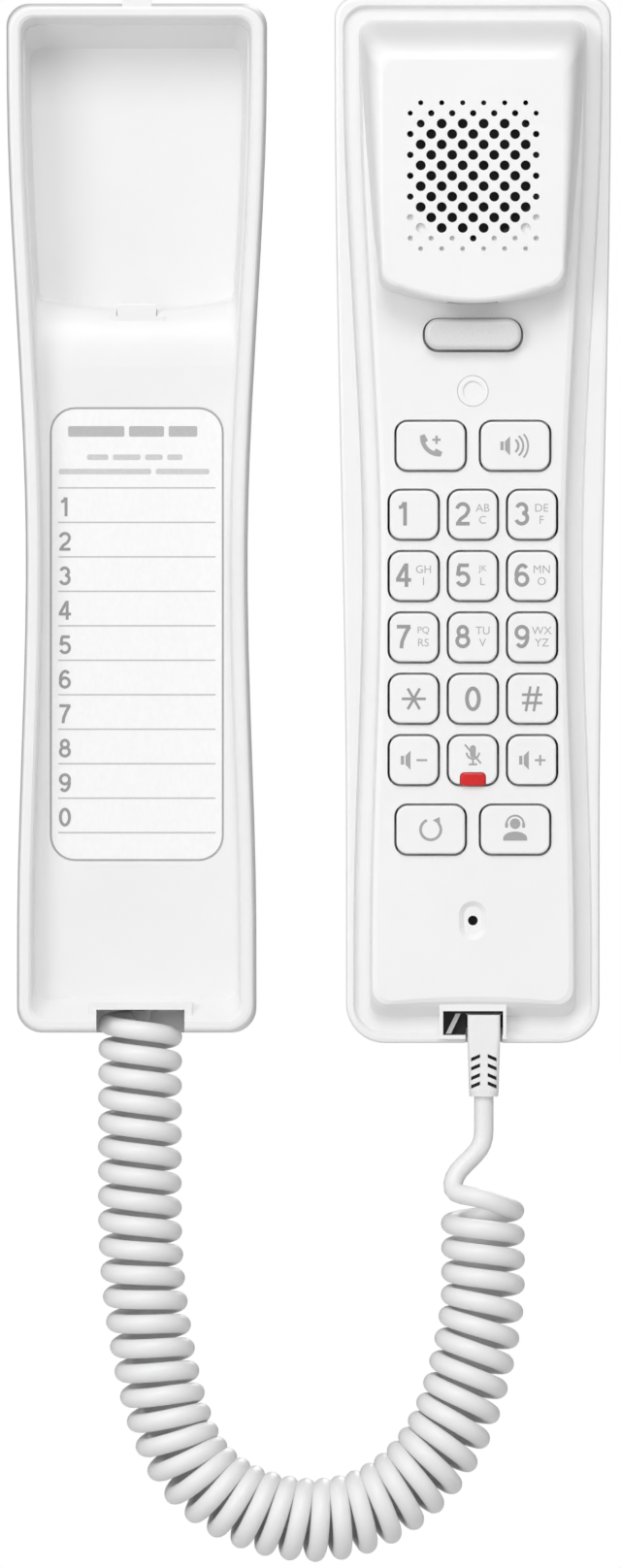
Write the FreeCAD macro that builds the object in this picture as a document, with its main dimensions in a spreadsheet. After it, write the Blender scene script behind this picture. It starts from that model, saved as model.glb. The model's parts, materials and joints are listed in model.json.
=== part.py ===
"""Slimline wall phone: a wall base and a handset with a keypad, joined by a curly cord.

Frame: +X to the viewer's right, +Z up, +Y into the wall. The wall plane is Y = 0 and the
origin is midway between the two wall screws. The handset is off the hook and stands beside
the base with its face to the viewer.

"Forward" is the distance from a body's own X-Z plane towards the viewer, which is along that
plane's normal, -Y. The base's bodies start from the wall plane, and the handset's bodies from
the front of its flange. Numbers written into the shells' sections are (forward, top, bottom,
inset, sag) of an outline: inset narrows it on each side, and sag lifts the middle of its
bottom edge, or lowers it where it is negative.
"""
import FreeCAD, Part

import math
import os
import re

import Sketcher
from FreeCAD import Placement, Rotation, Vector

SIZES = {
    # base, forward from the wall
    "bracket_thickness": 2.0,
    "cover_front": 4.0,
    "pocket_back": 9.0,
    "pocket_floor": 11.0,
    "tray_back": 19.0,
    "tray_floor": 21.0,
    "base_depth": 28.0,
    # outline of the base's opening, which the handset's raised body fits
    "opening_half_top": 25.05,
    "opening_half_waist": 20.8,
    "opening_half_bottom": 22.75,
    "waist_z": -10.0,
    "waist_rise": 110.0,
    "waist_fall": 82.0,
    "rim_width": 2.7,
    # handset
    "handset_x": 73.0,
    "handset_forward": 17.5,
    "flange_half_top": 30.0,
    "flange_half_bottom": 27.5,
    "flange_taper_start": -70.0,
    "flange_taper": 170.0,
    "shell_split": 3.0,
    "channel_depth": 1.5,
    "face_height": 4.0,
    "hump_height": 15.0,
    "hump_taper_start": 100.0,
    "hump_taper": 50.0,
    "wall": 2.0,
    # keys
    "key_size": 10.4,
    "wide_key_width": 14.8,
    "key_corner": 2.4,
    "key_gap": 0.5,
    "key_pitch_x": 12.82,
    "key_pitch_z": 13.3,
    "wide_key_x": 9.15,
    "first_row_z": 0.56,
    "top_row_z": 15.5,
    "bottom_row_z": -67.7,
    "key_proud": 1.2,
    "key_lip": 0.95,
    "key_lip_thickness": 0.7,
    "key_foot": 1.0,
    "mute_lamp_width": 5.6,
    "mute_lamp_height": 2.9,
    "mute_lamp_drop": 0.35,
    "mute_lamp_corner": 1.0,
    # hook button
    "hook_z": 39.7,
    "hook_width": 20.8,
    "hook_height": 6.7,
    "hook_corner": 3.0,
    "hook_proud": 3.4,
    "hook_stem": 2.9,
    # receiver and its grille
    "receiver_z": 74.2,
    "receiver_radius": 16.0,
    "grille_pitch_x": 4.54,
    "grille_pitch_z": 2.256,
    "grille_top_z": 89.6,
    # microphone
    "mic_z": -87.4,
    "mic_radius": 4.85,
    "mic_hole": 1.06,
    # message lamp
    "lamp_z": 27.4,
    "lamp_radius": 3.3,
    # circuit boards
    "board_thickness": 1.6,
    "board_front": -1.6,
    "dome_height": 0.3,
    # label card
    "label_width": 37.6,
    "label_height": 98.3,
    "label_z": -25.3,
    "label_corner": 5.5,
    "label_thickness": 0.4,
    # fasteners
    "screw_radius": 1.25,
    "screw_head_radius": 2.4,
    "boss_radius": 3.0,
    "base_boss_x": 16.5,
    "base_boss_top_z": 98.0,
    "base_boss_bottom_z": -92.0,
    "handset_boss_x": 14.0,
    "handset_boss_top_z": 98.0,
    "handset_boss_bottom_z": -94.0,
    "wall_screw_pitch": 100.0,
    "wall_screw_hole": 2.1,
    # network socket
    "network_z": -30.0,
    "network_width": 15.9,
    "network_height": 13.4,
    # ringer
    "ringer_z": -70.0,
    "ringer_radius": 14.0,
    # cord
    "strand": 4.2,
    "coil_outer": 18.2,
    "cord_forward": 17.0,
    "plug_width": 7.6,
    "plug_depth": 6.6,
    "boot_width": 7.1,
    "plug_x": 2.4,
    "base_plug_x": 0.93,
    "base_plug_forward": 11.5,
    "bay_width": 19.1,
    "bay_x": 0.95,
    "bay_top": -106.7,
}

# The cord's route as (X, Z), all of it cord_forward from the wall: the middle of its coil from
# the base's plug to the handset's side, and then its straight end from the boot to the coil.
COIL_ROUTE = [
    (0.93, -107.0),
    (0.70, -137.0),
    (0.93, -167.2),
    (7.6, -201.1),
    (19.4, -213.7),
    (38.4, -218.7),
    (55.1, -214.1),
    (68.3, -200.0),
    (75.1, -174.8),
    (75.3, -160.0),
    (75.1, -147.0),
]
TAIL_ROUTE = [
    (75.4, -125.6),
    (75.4, -135.5),
    (69.0, -141.8),
    (68.4, -146.5),
]

KEY_ROWS = [
    ("key_1", "key_2", "key_3"),
    ("key_4", "key_5", "key_6"),
    ("key_7", "key_8", "key_9"),
    ("key_star", "key_0", "key_hash"),
    ("key_volume_down", "key_mute", "key_volume_up"),
]
WIDE_KEYS = [
    ("key_talk", -1, "top_row_z"),
    ("key_speaker", 1, "top_row_z"),
    ("key_redial", -1, "bottom_row_z"),
    ("key_operator", 1, "bottom_row_z"),
]

doc = FreeCAD.newDocument("SlimlineWallPhone")
sheet = doc.addObject("Spreadsheet::Sheet", "sizes")
for row, (alias, value) in enumerate(SIZES.items(), start=1):
    sheet.set(f"A{row}", alias)
    sheet.set(f"B{row}", str(value))
    sheet.setAlias(f"B{row}", alias)
doc.recompute()

sub_parts = []
cuts = []


def cell(alias):
    """Value of one of the sheet's cells."""
    return float(sheet.get(alias))


def bind(thing, name, text):
    """Bind a property or constraint to an expression in the sheet's cells."""
    cells = re.sub(r"[a-z]\w*", lambda word: f"sizes.{word[0]}", str(text))
    thing.setExpression(name, cells)


# ---------------------------------------------------------------- making and sketching


def keep(thing, label):
    """Name a sub-part and put it on the list of those to write."""
    thing.Label = label
    sub_parts.append(thing)
    return thing


def new_body(label, x="0", forward="0", z="0"):
    """A body whose own X-Z plane is that far forward of the wall."""
    body = keep(doc.addObject("PartDesign::Body", label), label)
    bind(body, "Placement.Base.x", x)
    bind(body, "Placement.Base.y", f"-1 * ({forward})")
    bind(body, "Placement.Base.z", z)
    return body


def handset_body(label, x="0", z="0"):
    """A body in the handset's own frame: its middle line, and the front of its flange."""
    return new_body(label, f"handset_x + {x}", "handset_forward", z)


def new_sketch(body, name, offset="0", role="XZ_Plane"):
    """A sketch on one of the body's own planes, moved along the plane's normal."""
    sketch = body.newObject("Sketcher::SketchObject", name)
    support = next(f for f in body.Origin.OriginFeatures if f.Role == role)
    sketch.AttachmentSupport = [(support, "")]
    sketch.MapMode = "FlatFace"
    bind(sketch, "AttachmentOffset.Base.z", offset)
    return sketch


def constrain(sketch, text, kind, *where):
    """Add a sized constraint, bound to the sheet."""
    index = sketch.addConstraint(Sketcher.Constraint(kind, *where, 1.0))
    bind(sketch, f"Constraints[{index}]", text)


def add_rectangle(sketch, width, height, x="0", z="0"):
    """A rectangle about (x, z), each size an expression."""
    first = sketch.GeometryCount
    corners = [Vector(0, 0, 0), Vector(1, 0, 0), Vector(1, 1, 0), Vector(0, 1, 0)]
    for here, there in zip(corners, corners[1:] + corners[:1]):
        sketch.addGeometry(Part.LineSegment(here, there), False)
    for k in range(4):
        follower = first + (k + 1) % 4
        sketch.addConstraint(Sketcher.Constraint("Coincident", first + k, 2, follower, 1))
        way = "Vertical" if k % 2 else "Horizontal"
        sketch.addConstraint(Sketcher.Constraint(way, first + k))
    constrain(sketch, width, "DistanceX", first, 1, first, 2)
    constrain(sketch, height, "DistanceY", first + 1, 1, first + 1, 2)
    constrain(sketch, f"{x} - ({width}) / 2", "DistanceX", -1, 1, first, 1)
    constrain(sketch, f"{z} - ({height}) / 2", "DistanceY", -1, 1, first, 1)


def add_circle(sketch, radius, x="0", z="0"):
    """A circle about (x, z), each size an expression."""
    index = sketch.addGeometry(Part.Circle(Vector(0, 0, 0), Vector(0, 0, 1), 1), False)
    constrain(sketch, radius, "Radius", index)
    constrain(sketch, x, "DistanceX", -1, 1, index, 3)
    constrain(sketch, z, "DistanceY", -1, 1, index, 3)


def add_rounded(sketch, width, height, radius, x=0.0, z=0.0):
    """A rectangle with round corners about (x, z), in plain numbers."""
    centres = [
        (x + width / 2 - radius, z + height / 2 - radius, 0),
        (x - width / 2 + radius, z + height / 2 - radius, 90),
        (x - width / 2 + radius, z - height / 2 + radius, 180),
        (x + width / 2 - radius, z - height / 2 + radius, 270),
    ]
    arcs = []
    for cx, cz, start in centres:
        circle = Part.Circle(Vector(cx, cz, 0), Vector(0, 0, 1), radius)
        arcs.append(Part.ArcOfCircle(circle, math.radians(start), math.radians(start + 90)))
    for arc, following in zip(arcs, arcs[1:] + arcs[:1]):
        sketch.addGeometry(arc, False)
        sketch.addGeometry(Part.LineSegment(arc.EndPoint, following.StartPoint), False)


def add_polygon(sketch, corners):
    """A closed polygon through (x, z) corners."""
    points = [Vector(x, z, 0) for x, z in corners]
    for here, there in zip(points, points[1:] + points[:1]):
        sketch.addGeometry(Part.LineSegment(here, there), False)


def add_feature(kind, sketch, length, backward):
    """A pad or pocket of the sketch's body."""
    body = sketch.getParentGeoFeatureGroup()
    feature = body.newObject(f"PartDesign::{kind}", f"{sketch.Name}_{kind}")
    feature.Profile = sketch
    bind(feature, "Length", length)
    feature.Reversed = backward != (kind == "Pocket")
    body.Tip = feature
    doc.recompute()
    return feature


def pad(sketch, length, backward=False):
    """Add the sketch's area along its plane's normal, or backward along it."""
    return add_feature("Pad", sketch, length, backward)


def pocket(sketch, length, forward=False):
    """Cut the sketch's area back from its plane, or forward of it."""
    feature = add_feature("Pocket", sketch, length, not forward)
    cuts.append(feature)
    return feature


def dress(kind, feature, edges, amount):
    """Fillet or chamfer edges of a body's newest feature."""
    body = feature.getParentGeoFeatureGroup()
    dressed = body.newObject(f"PartDesign::{kind}", f"{feature.Name}_{kind}")
    dressed.Base = (feature, [f"Edge{n}" for n in edges])
    bind(dressed, "Radius" if kind == "Fillet" else "Size", amount)
    body.Tip = dressed
    doc.recompute()
    return dressed


def edges_along(feature, way):
    """Numbers of the straight edges that run along a direction."""
    found = []
    for number, edge in enumerate(feature.Shape.Edges, start=1):
        ends = [v.Point for v in edge.Vertexes]
        straight = len(ends) == 2 and edge.Curve.TypeId == "Part::GeomLine"
        if straight and (ends[1] - ends[0]).cross(way).Length < 1e-6:
            found.append(number)
    return found


def edges_at(feature, axis, level):
    """Numbers of the edges that lie wholly at one level of the body's own frame."""
    found = []
    for number, edge in enumerate(feature.Shape.Edges, start=1):
        box = edge.BoundBox
        low, high = getattr(box, f"{axis}Min"), getattr(box, f"{axis}Max")
        if abs(low - level) < 1e-4 and abs(high - level) < 1e-4:
            found.append(number)
    return found


def plate(body, width, height, length, start="0", x="0", z="0", corner=None):
    """A rectangular block of a body, from start towards the viewer."""
    sketch = new_sketch(body, "outline", start)
    add_rectangle(sketch, width, height, x, z)
    block = pad(sketch, length)
    if corner:
        block = dress("Fillet", block, edges_along(block, Vector(0, 1, 0)), corner)
    return block


def disc(body, radius, length, start="0", x="0", z="0"):
    """A round block of a body, from start towards the viewer."""
    sketch = new_sketch(body, "circle", start)
    add_circle(sketch, radius, x, z)
    return pad(sketch, length)


# ---------------------------------------------------------------- outlines of the shells


def smoothstep(t):
    """Ease from 0 to 1, flat at both ends."""
    t = min(max(t, 0.0), 1.0)
    return t * t * (3 - 2 * t)


def opening_half(z):
    """Half the width of the base's opening, which has a waist."""
    waist, above = cell("opening_half_waist"), z - cell("waist_z")
    if above > 0:
        end, way = cell("opening_half_top"), above / cell("waist_rise")
    else:
        end, way = cell("opening_half_bottom"), -above / cell("waist_fall")
    return waist + (end - waist) * smoothstep(way)


def hump_half(taper):
    """Half the width of the opening, less a taper that grows down the earpiece hump."""

    def half(z):
        way = (cell("hump_taper_start") - z) / cell("hump_taper")
        return opening_half(z) - taper * min(max(way, 0.0), 1.0)

    return half


def flange_half(z):
    """Half the width of the handset's flange, which narrows downwards."""
    way = (z - cell("flange_taper_start")) / cell("flange_taper")
    low, high = cell("flange_half_bottom"), cell("flange_half_top")
    return low + (high - low) * smoothstep(way)


def side_curve(half, inset, start, stop, side):
    """One long side of an outline, upright where it meets the corners."""
    steps = 8
    heights = [start + (stop - start) * k / steps for k in range(steps + 1)]
    points = [Vector(side * (half(z) - inset), z, 0) for z in heights]
    way = Vector(0, 1 if stop > start else -1, 0)
    curve = Part.BSplineCurve()
    curve.interpolate(Points=points, InitialTangent=way, FinalTangent=way)
    return curve


def add_outline(sketch, half, section, corners):
    """A closed outline with two long curved sides and four round corners."""
    top, bottom, inset, sag = section
    upper_radius, lower_radius = corners
    upper, lower = top - upper_radius, bottom + lower_radius
    upper_x = half(upper) - inset - upper_radius
    lower_x = half(lower) - inset - lower_radius

    def corner(x, z, radius, start):
        circle = Part.Circle(Vector(x, z, 0), Vector(0, 0, 1), radius)
        return Part.ArcOfCircle(circle, math.radians(start), math.radians(start + 90))

    low_left, low_right = Vector(-lower_x, bottom, 0), Vector(lower_x, bottom, 0)
    if sag:
        base_edge = Part.Arc(low_left, Vector(0, bottom + sag, 0), low_right)
    else:
        base_edge = Part.LineSegment(low_left, low_right)
    parts = [
        side_curve(half, inset, lower, upper, 1),
        corner(upper_x, upper, upper_radius, 0),
        Part.LineSegment(Vector(upper_x, top, 0), Vector(-upper_x, top, 0)),
        corner(-upper_x, upper, upper_radius, 90),
        side_curve(half, inset, upper, lower, -1),
        corner(-lower_x, lower, lower_radius, 180),
        base_edge,
        corner(lower_x, lower, lower_radius, 270),
    ]
    for geometry in parts:
        sketch.addGeometry(geometry, False)


def loft(body, name, half, sections, corners, cut=False, ruled=True):
    """A solid or a cut through outlines. Each section starts with how far forward it is.

    The half width is one function of Z for all the sections, or a list with one for each.
    """
    sketches = []
    halves = half if isinstance(half, list) else [half] * len(sections)
    for number, (forward, *section) in enumerate(sections):
        sketch = new_sketch(body, f"{name}_section_{number}", forward)
        add_outline(sketch, halves[number], section, corners)
        sketches.append(sketch)
    kind = "SubtractiveLoft" if cut else "AdditiveLoft"
    feature = body.newObject(f"PartDesign::{kind}", name)
    feature.Profile = sketches[0]
    feature.Sections = sketches[1:]
    feature.Ruled = ruled
    body.Tip = feature
    if cut:
        cuts.append(feature)
    doc.recompute()
    return feature


# ---------------------------------------------------------------- base


def base_front_shell():
    """The base's moulding: rim, earpiece pocket, step, label floor and the cord's bay."""
    body = new_body("base_front_shell")
    rim = cell("rim_width")
    loft(
        body,
        "outer_wall",
        opening_half,
        [
            ("bracket_thickness", 112.0, -111.9, -rim - 0.6, 0),
            ("base_depth - 0.8", 110.8, -111.3, -rim, 0),
            ("base_depth - 0.2", 110.5, -111.0, -rim + 0.3, 0),
            ("base_depth", 110.0, -110.5, -rim + 0.8, 0),
        ],
        (5.0, 5.5),
    )
    loft(
        body,
        "tray",
        opening_half,
        [
            ("base_depth", 108.7, -109.3, -0.5, 0.01),
            ("base_depth - 0.5", 108.2, -108.8, 0.0, 0.01),
            ("tray_floor", 106.9, -104.6, 0.6, 0.9),
        ],
        (3.0, 3.5),
        cut=True,
    )
    loft(
        body,
        "earpiece_pocket",
        opening_half,
        [
            ("tray_floor", 106.6, 33.0, 0.8, -0.2),
            ("tray_floor - 0.4", 106.5, 38.0, 0.9, -0.3),
            ("tray_floor - 1.4", 106.1, 41.8, 1.0, -0.6),
            ("tray_floor - 3", 105.4, 44.6, 1.2, -0.9),
            ("tray_floor - 6", 104.0, 46.6, 1.5, -1.4),
            ("pocket_floor", 102.0, 47.6, 2.1, -1.9),
        ],
        (2.8, 2.2),
        cut=True,
        ruled=False,
    )
    rear = new_sketch(body, "rear_opening", "bracket_thickness")
    add_outline(rear, opening_half, (108.3, -108.6, 0.0, 0), (4.0, 4.5))
    pocket(rear, "pocket_back - bracket_thickness", forward=True)
    loft(
        body,
        "label_cavity",
        opening_half,
        [
            ("pocket_back", 45.0, -108.3, 0.4, 0.01),
            ("pocket_back + 4", 44.4, -108.0, 0.6, 0.01),
            ("pocket_back + 8", 41.8, -107.4, 0.9, 0.01),
            ("tray_back - 0.6", 38.0, -106.8, 1.1, 0.01),
            ("tray_back", 33.0, -106.2, 1.3, 0.01),
        ],
        (2.0, 3.5),
        cut=True,
    )
    cord_bay(body)
    for name, height, reach in (
        ("top_bosses", "base_boss_top_z", "pocket_back - cover_front + 0.5"),
        ("bottom_bosses", "base_boss_bottom_z", "tray_back - cover_front + 0.5"),
    ):
        bosses = new_sketch(body, name, "cover_front")
        holes = new_sketch(body, f"{name}_holes", "cover_front")
        for side in ("-1", "1"):
            add_circle(bosses, "boss_radius", f"{side} * base_boss_x", height)
            add_circle(holes, "screw_radius", f"{side} * base_boss_x", height)
        pad(bosses, reach)
        pocket(holes, "4", forward=True)
    hook_tab_seat(body)
    label = new_sketch(body, "label_recess", "tray_floor")
    room = 0.1
    add_rounded(
        label,
        cell("label_width") + room,
        cell("label_height") + room,
        cell("label_corner"),
        0.15,
        cell("label_z"),
    )
    pocket(label, "label_thickness")
    tab = new_sketch(body, "locating_tab", "base_depth - 8")
    add_rectangle(tab, "6.4", "4.4", "0.2", "111.5")
    pad(tab, "7.7")
    return body


def cord_bay(body):
    """Walls round the first turns of the coil, a hood over them and the plug's way in."""
    walls = new_sketch(body, "bay_walls", "bracket_thickness")
    add_rectangle(walls, "bay_width + 3.2", "5.7", "bay_x", "bay_top + 1.6 - 2.85")
    pad(walls, "24.4")
    bay = new_sketch(body, "bay", "base_depth + 1")
    add_rectangle(bay, "bay_width", "8", "bay_x", "bay_top - 4")
    pocket(bay, "base_depth + 1 - 7.4")
    way_in = new_sketch(body, "plug_way", "bay_top - 0.5", "XY_Plane")
    add_rectangle(
        way_in, "plug_width + 0.4", "plug_depth + 0.4", "base_plug_x", "-1 * base_plug_forward"
    )
    pocket(way_in, "2.6", forward=True)


def hook_tab_seat(body):
    """A block behind the step with an upright slot for the hook tab."""
    block = new_sketch(body, "tab_block", "pocket_back + 4.5")
    add_rectangle(block, "12", "7", "0.1", "40.2")
    pad(block, "5.4")
    slot = new_sketch(body, "tab_slot", "48", "XY_Plane")
    add_rectangle(slot, "8.8", "2.4", "0.1", "-17.1")
    pocket(slot, "9.4")


def hook_tab():
    """The tongue that holds the handset up: it pulls out upwards to be turned over."""
    body = new_body("hook_tab", x="0.1", forward="16", z="38.7")
    block = plate(body, "8.5", "7.9", "2.2", z="7.9 / 2")
    dress("Fillet", block, edges_at(block, "Z", 7.9), "0.6")
    return body


def base_back_cover():
    """Flat cover of the base's back with a window for the socket and slots for the ringer."""
    body = new_body("base_back_cover")
    face = new_sketch(body, "cover_outline", "bracket_thickness")
    add_outline(face, opening_half, (108.0, -108.3, 0.3, 0), (3.7, 4.2))
    pad(face, "cover_front - bracket_thickness")
    notch = new_sketch(body, "bay_notch", "cover_front + 1")
    add_rectangle(notch, "bay_width + 3.8", "8", "bay_x", "bay_top + 2 - 4")
    pocket(notch, "cover_front")
    holes = new_sketch(body, "cover_holes", "cover_front + 1")
    heads = new_sketch(body, "cover_heads", "bracket_thickness - 1")
    for side in ("-1", "1"):
        for height in ("base_boss_top_z", "base_boss_bottom_z"):
            add_circle(holes, "screw_radius + 0.2", f"{side} * base_boss_x", height)
            add_circle(heads, "screw_head_radius + 0.3", f"{side} * base_boss_x", height)
        add_circle(holes, "4.5", "0", f"{side} * wall_screw_pitch / 2")
    add_rectangle(holes, "network_width + 0.4", "network_height + 0.4", "0", "network_z")
    for k in range(-3, 4):
        add_rectangle(holes, "1.6", "16", f"({k}) * 3.4", "ringer_z")
    for height in (20, 66):
        add_rectangle(holes, "9", "3.6", "0", f"{height} - 0.5")
    pocket(holes, "cover_front")
    pocket(heads, "2.2", forward=True)
    return body


def wall_bracket():
    """The plate that two screws hold on the wall."""
    body = new_body("wall_bracket")
    plate(body, "30", "140", "bracket_thickness", z="12", corner="5")
    holes = new_sketch(body, "bracket_holes", "bracket_thickness + 1")
    for side in ("-1", "1"):
        add_circle(holes, "wall_screw_hole", "0", f"{side} * wall_screw_pitch / 2")
    add_rectangle(holes, "network_width + 1", "network_height + 1", "0", "network_z")
    pocket(holes, "bracket_thickness + 2")
    arms = new_sketch(body, "hook_arms", "bracket_thickness - 0.5")
    lips = new_sketch(body, "hook_lips", "cover_front + 0.2")
    for height in (20, 66):
        add_rectangle(arms, "8", "2", "0", str(height))
        add_rectangle(lips, "8", "4", "0", f"{height} + 1")
    pad(arms, "cover_front + 1.2 - bracket_thickness + 0.5")
    pad(lips, "1")
    return body


def label_card():
    """Paper speed-dial card in the label floor."""
    body = new_body("label_card", "0.15", "tray_floor - label_thickness", "label_z")
    plate(body, "label_width", "label_height", "label_thickness", corner="label_corner")
    return body


def base_board():
    """Line board behind the label floor."""
    body = new_body("base_board")
    plate(body, "34", "66", "board_thickness", start="15.4", z="-12", corner="1.5")
    parts = new_sketch(body, "chips", "15.4")
    add_rectangle(parts, "9", "9", "-8", "4")
    add_rectangle(parts, "12", "8", "7", "10")
    add_rectangle(parts, "6", "4", "-10", "-14")
    pad(parts, "1.8", backward=True)
    coils = new_sketch(body, "capacitors", "15.4")
    add_circle(coils, "3.1", "11", "-6")
    add_circle(coils, "2.5", "11.5", "-14")
    pad(coils, "7", backward=True)
    return body


def network_jack():
    """Eight-pin socket whose mouth is in the back cover's window."""
    body = new_body("network_jack", z="network_z")
    plate(body, "network_width", "network_height", "15.3 - bracket_thickness", "bracket_thickness")
    mouth = new_sketch(body, "mouth", "bracket_thickness - 1")
    add_rectangle(mouth, "11.8", "7", "0", "-0.6")
    add_rectangle(mouth, "6", "2.4", "0", "4.1")
    pocket(mouth, "11.5", forward=True)
    return body


def base_cord_jack():
    """Four-pin socket that faces down into the cord's bay."""
    body = new_body("base_cord_jack", "base_plug_x", "base_plug_forward", "bay_top + 1.6")
    sketch = new_sketch(body, "jack_outline", role="XY_Plane")
    add_rectangle(sketch, "11", "11")
    pad(sketch, "14")
    mouth = new_sketch(body, "jack_mouth", "-1", "XY_Plane")
    add_rectangle(mouth, "plug_width + 0.3", "plug_depth + 0.3")
    pocket(mouth, "11", forward=True)
    return body


def ringer_speaker():
    """Small loudspeaker that faces the slots of the back cover."""
    body = new_body("ringer_speaker", z="ringer_z")
    disc(body, "ringer_radius", "3", start="cover_front")
    disc(body, "ringer_radius - 5", "4.5", start="cover_front + 3")
    recess = new_sketch(body, "cone", "cover_front")
    add_circle(recess, "ringer_radius - 2")
    pocket(recess, "1.5", forward=True)
    return body


def screw_group(label, places, reach):
    """Identical pan-head screws along Y as a group of separate solids.

    Each place is (x, y, z) of the underside of a head. The shank runs towards the viewer.
    """
    screws = []
    for x, y, z in places:
        shank = doc.addObject("Part::Cylinder", f"{label}_shank")
        bind(shank, "Radius", "screw_radius - 0.03")
        bind(shank, "Height", reach)
        head = doc.addObject("Part::Cylinder", f"{label}_head")
        bind(head, "Radius", "screw_head_radius")
        bind(head, "Height", "1.1")
        recess = doc.addObject("Part::Box", f"{label}_recess")
        cross = doc.addObject("Part::Box", f"{label}_cross")
        for box, length, width in ((recess, 2.6, 0.6), (cross, 0.6, 2.6)):
            box.Length, box.Width, box.Height = length, width, 1.0
            box.Placement.Base = Vector(-length / 2, -width / 2, -1.6)
        head.Placement.Base = Vector(0, 0, -1.1)
        solid = doc.addObject("Part::MultiFuse", f"{label}_solid")
        solid.Shapes = [shank, head]
        drive = doc.addObject("Part::MultiFuse", f"{label}_drive")
        drive.Shapes = [recess, cross]
        screw = doc.addObject("Part::Cut", f"{label}_screw")
        screw.Base, screw.Tool = solid, drive
        screw.Placement = Placement(Vector(x, y, z), Rotation(Vector(1, 0, 0), 90))
        screws.append(screw)
    group = keep(doc.addObject("Part::Compound", label), label)
    group.Links = screws
    return group


def base_screws():
    """Four screws through the back cover."""
    across = cell("base_boss_x")
    heights = (cell("base_boss_top_z"), cell("base_boss_bottom_z"))
    under_head = -cell("bracket_thickness") - 1.2
    places = [(side * across, under_head, z) for z in heights for side in (-1, 1)]
    return screw_group("base_screws", places, "4.4")


def base_feet():
    """Four rubber pads on the cover, level with the bracket."""
    pads = []
    for side in (-1, 1):
        for height in (78.0, -66.0):
            foot = doc.addObject("Part::Cylinder", "foot")
            bind(foot, "Radius", "2.6")
            bind(foot, "Height", "bracket_thickness")
            place = Vector(side * 18.6, 0, height)
            foot.Placement = Placement(place, Rotation(Vector(1, 0, 0), 90))
            pads.append(foot)
    group = keep(doc.addObject("Part::Compound", "base_feet"), "base_feet")
    group.Links = pads
    return group


# ---------------------------------------------------------------- handset shells


def hump_outlines(grow):
    """Half widths and sections of the earpiece hump, narrower by grow on every side."""
    rows = [
        ("-2.5", 108.0, 48.4, 0.5, -2.4, 2.3),
        ("face_height - 1", 107.2, 48.6, 0.7, -2.5, 2.2),
        ("face_height + 4", 105.3, 48.9, 1.4, -2.7, 1.7),
        ("hump_height - 3", 103.2, 49.2, 2.5, -2.9, 0.65),
        ("hump_height - 0.9", 101.3, 49.5, 3.8, -3.0, -0.4),
        ("hump_height", 98.9, 50.5, 5.7, -3.0, -1.6),
    ]
    lower = 2.0 if grow else 0.0
    halves = [hump_half(row[-1]) for row in rows]
    sections = [
        (f"{forward} - {lower}", top - grow, bottom + grow, inset + grow, sag)
        for forward, top, bottom, inset, sag, _ in rows
    ]
    return halves, sections


def handset_front_shell():
    """Flange, channel, raised face and earpiece hump, with openings for all that shows."""
    body = handset_body("handset_front_shell")
    loft(
        body,
        "flange",
        flange_half,
        [
            ("-1 * shell_split", 112.9, -114.0, 0.0, 0),
            ("-0.8", 112.9, -114.0, 0.0, 0),
            ("-0.2", 112.6, -113.7, 0.3, 0),
            ("0", 112.2, -113.1, 0.9, 0),
        ],
        (4.4, 8.4),
    )
    loft(
        body,
        "channel",
        opening_half,
        [
            ("0.4", 111.3, -112.2, -3.3, 0),
            ("-1 * channel_depth", 110.7, -111.5, -2.7, 0),
        ],
        (5.0, 6.2),
        cut=True,
    )
    loft(
        body,
        "raised_face",
        opening_half,
        [
            ("-2.5", 108.3, -108.7, 0.3, 0.01),
            ("face_height - 1.5", 107.2, -106.5, 0.55, 0.4),
            ("face_height - 0.4", 106.6, -105.6, 1.0, 0.7),
            ("face_height", 105.6, -104.8, 2.0, 0.9),
        ],
        (3.0, 3.5),
    )
    halves, sections = hump_outlines(0.0)
    loft(body, "earpiece_hump", halves, sections, (3.4, 4.2), ruled=False)
    cavity = new_sketch(body, "face_cavity", "-1 * shell_split")
    add_outline(cavity, opening_half, (105.5, -102.4, 2.1, 0.01), (2.5, 2.5))
    pocket(cavity, "shell_split + face_height - wall", forward=True)
    halves, sections = hump_outlines(2.0)
    loft(body, "hump_cavity", halves[1:], sections[1:], (2.4, 2.6), cut=True, ruled=False)
    jack_window(body)
    face_openings(body)
    grille(body)
    holes = new_sketch(body, "front_boss_holes", "-9")
    for name, reach in (
        ("handset_boss_top_z", "8 + hump_height - 1.5"),
        ("handset_boss_bottom_z", "8 + face_height - 1.5"),
    ):
        bosses = new_sketch(body, "front_bosses", "-8")
        for side in ("-1", "1"):
            add_circle(bosses, "boss_radius", f"{side} * handset_boss_x", name)
            add_circle(holes, "screw_radius", f"{side} * handset_boss_x", name)
        pad(bosses, reach)
    pocket(holes, "8", forward=True)
    return body


def jack_window(body):
    """A raised frame round the cord socket, its window and the plug's way out below."""
    frame = new_sketch(body, "jack_frame", "-2.6")
    add_rectangle(frame, "14.5", "8", "0", "-105.1 - 4")
    pad(frame, "5.6")
    window = new_sketch(body, "window", "face_height + 2")
    add_rectangle(window, "13", "5.2", "0.05", "-109.65")
    pocket(window, "face_height + 2 + shell_split + 1")
    way_out = new_sketch(body, "way_out", "face_height + 2")
    add_rectangle(way_out, "plug_width + 0.4", "10", "plug_x", "-112 - 2")
    pocket(way_out, "face_height + 2 + shell_split + 1")
    passage = new_sketch(body, "plug_passage", "-113", "XY_Plane")
    add_rectangle(passage, "11.1", "5.2", "1.3", "1.7")
    pocket(passage, "11.2", forward=True)


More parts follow.
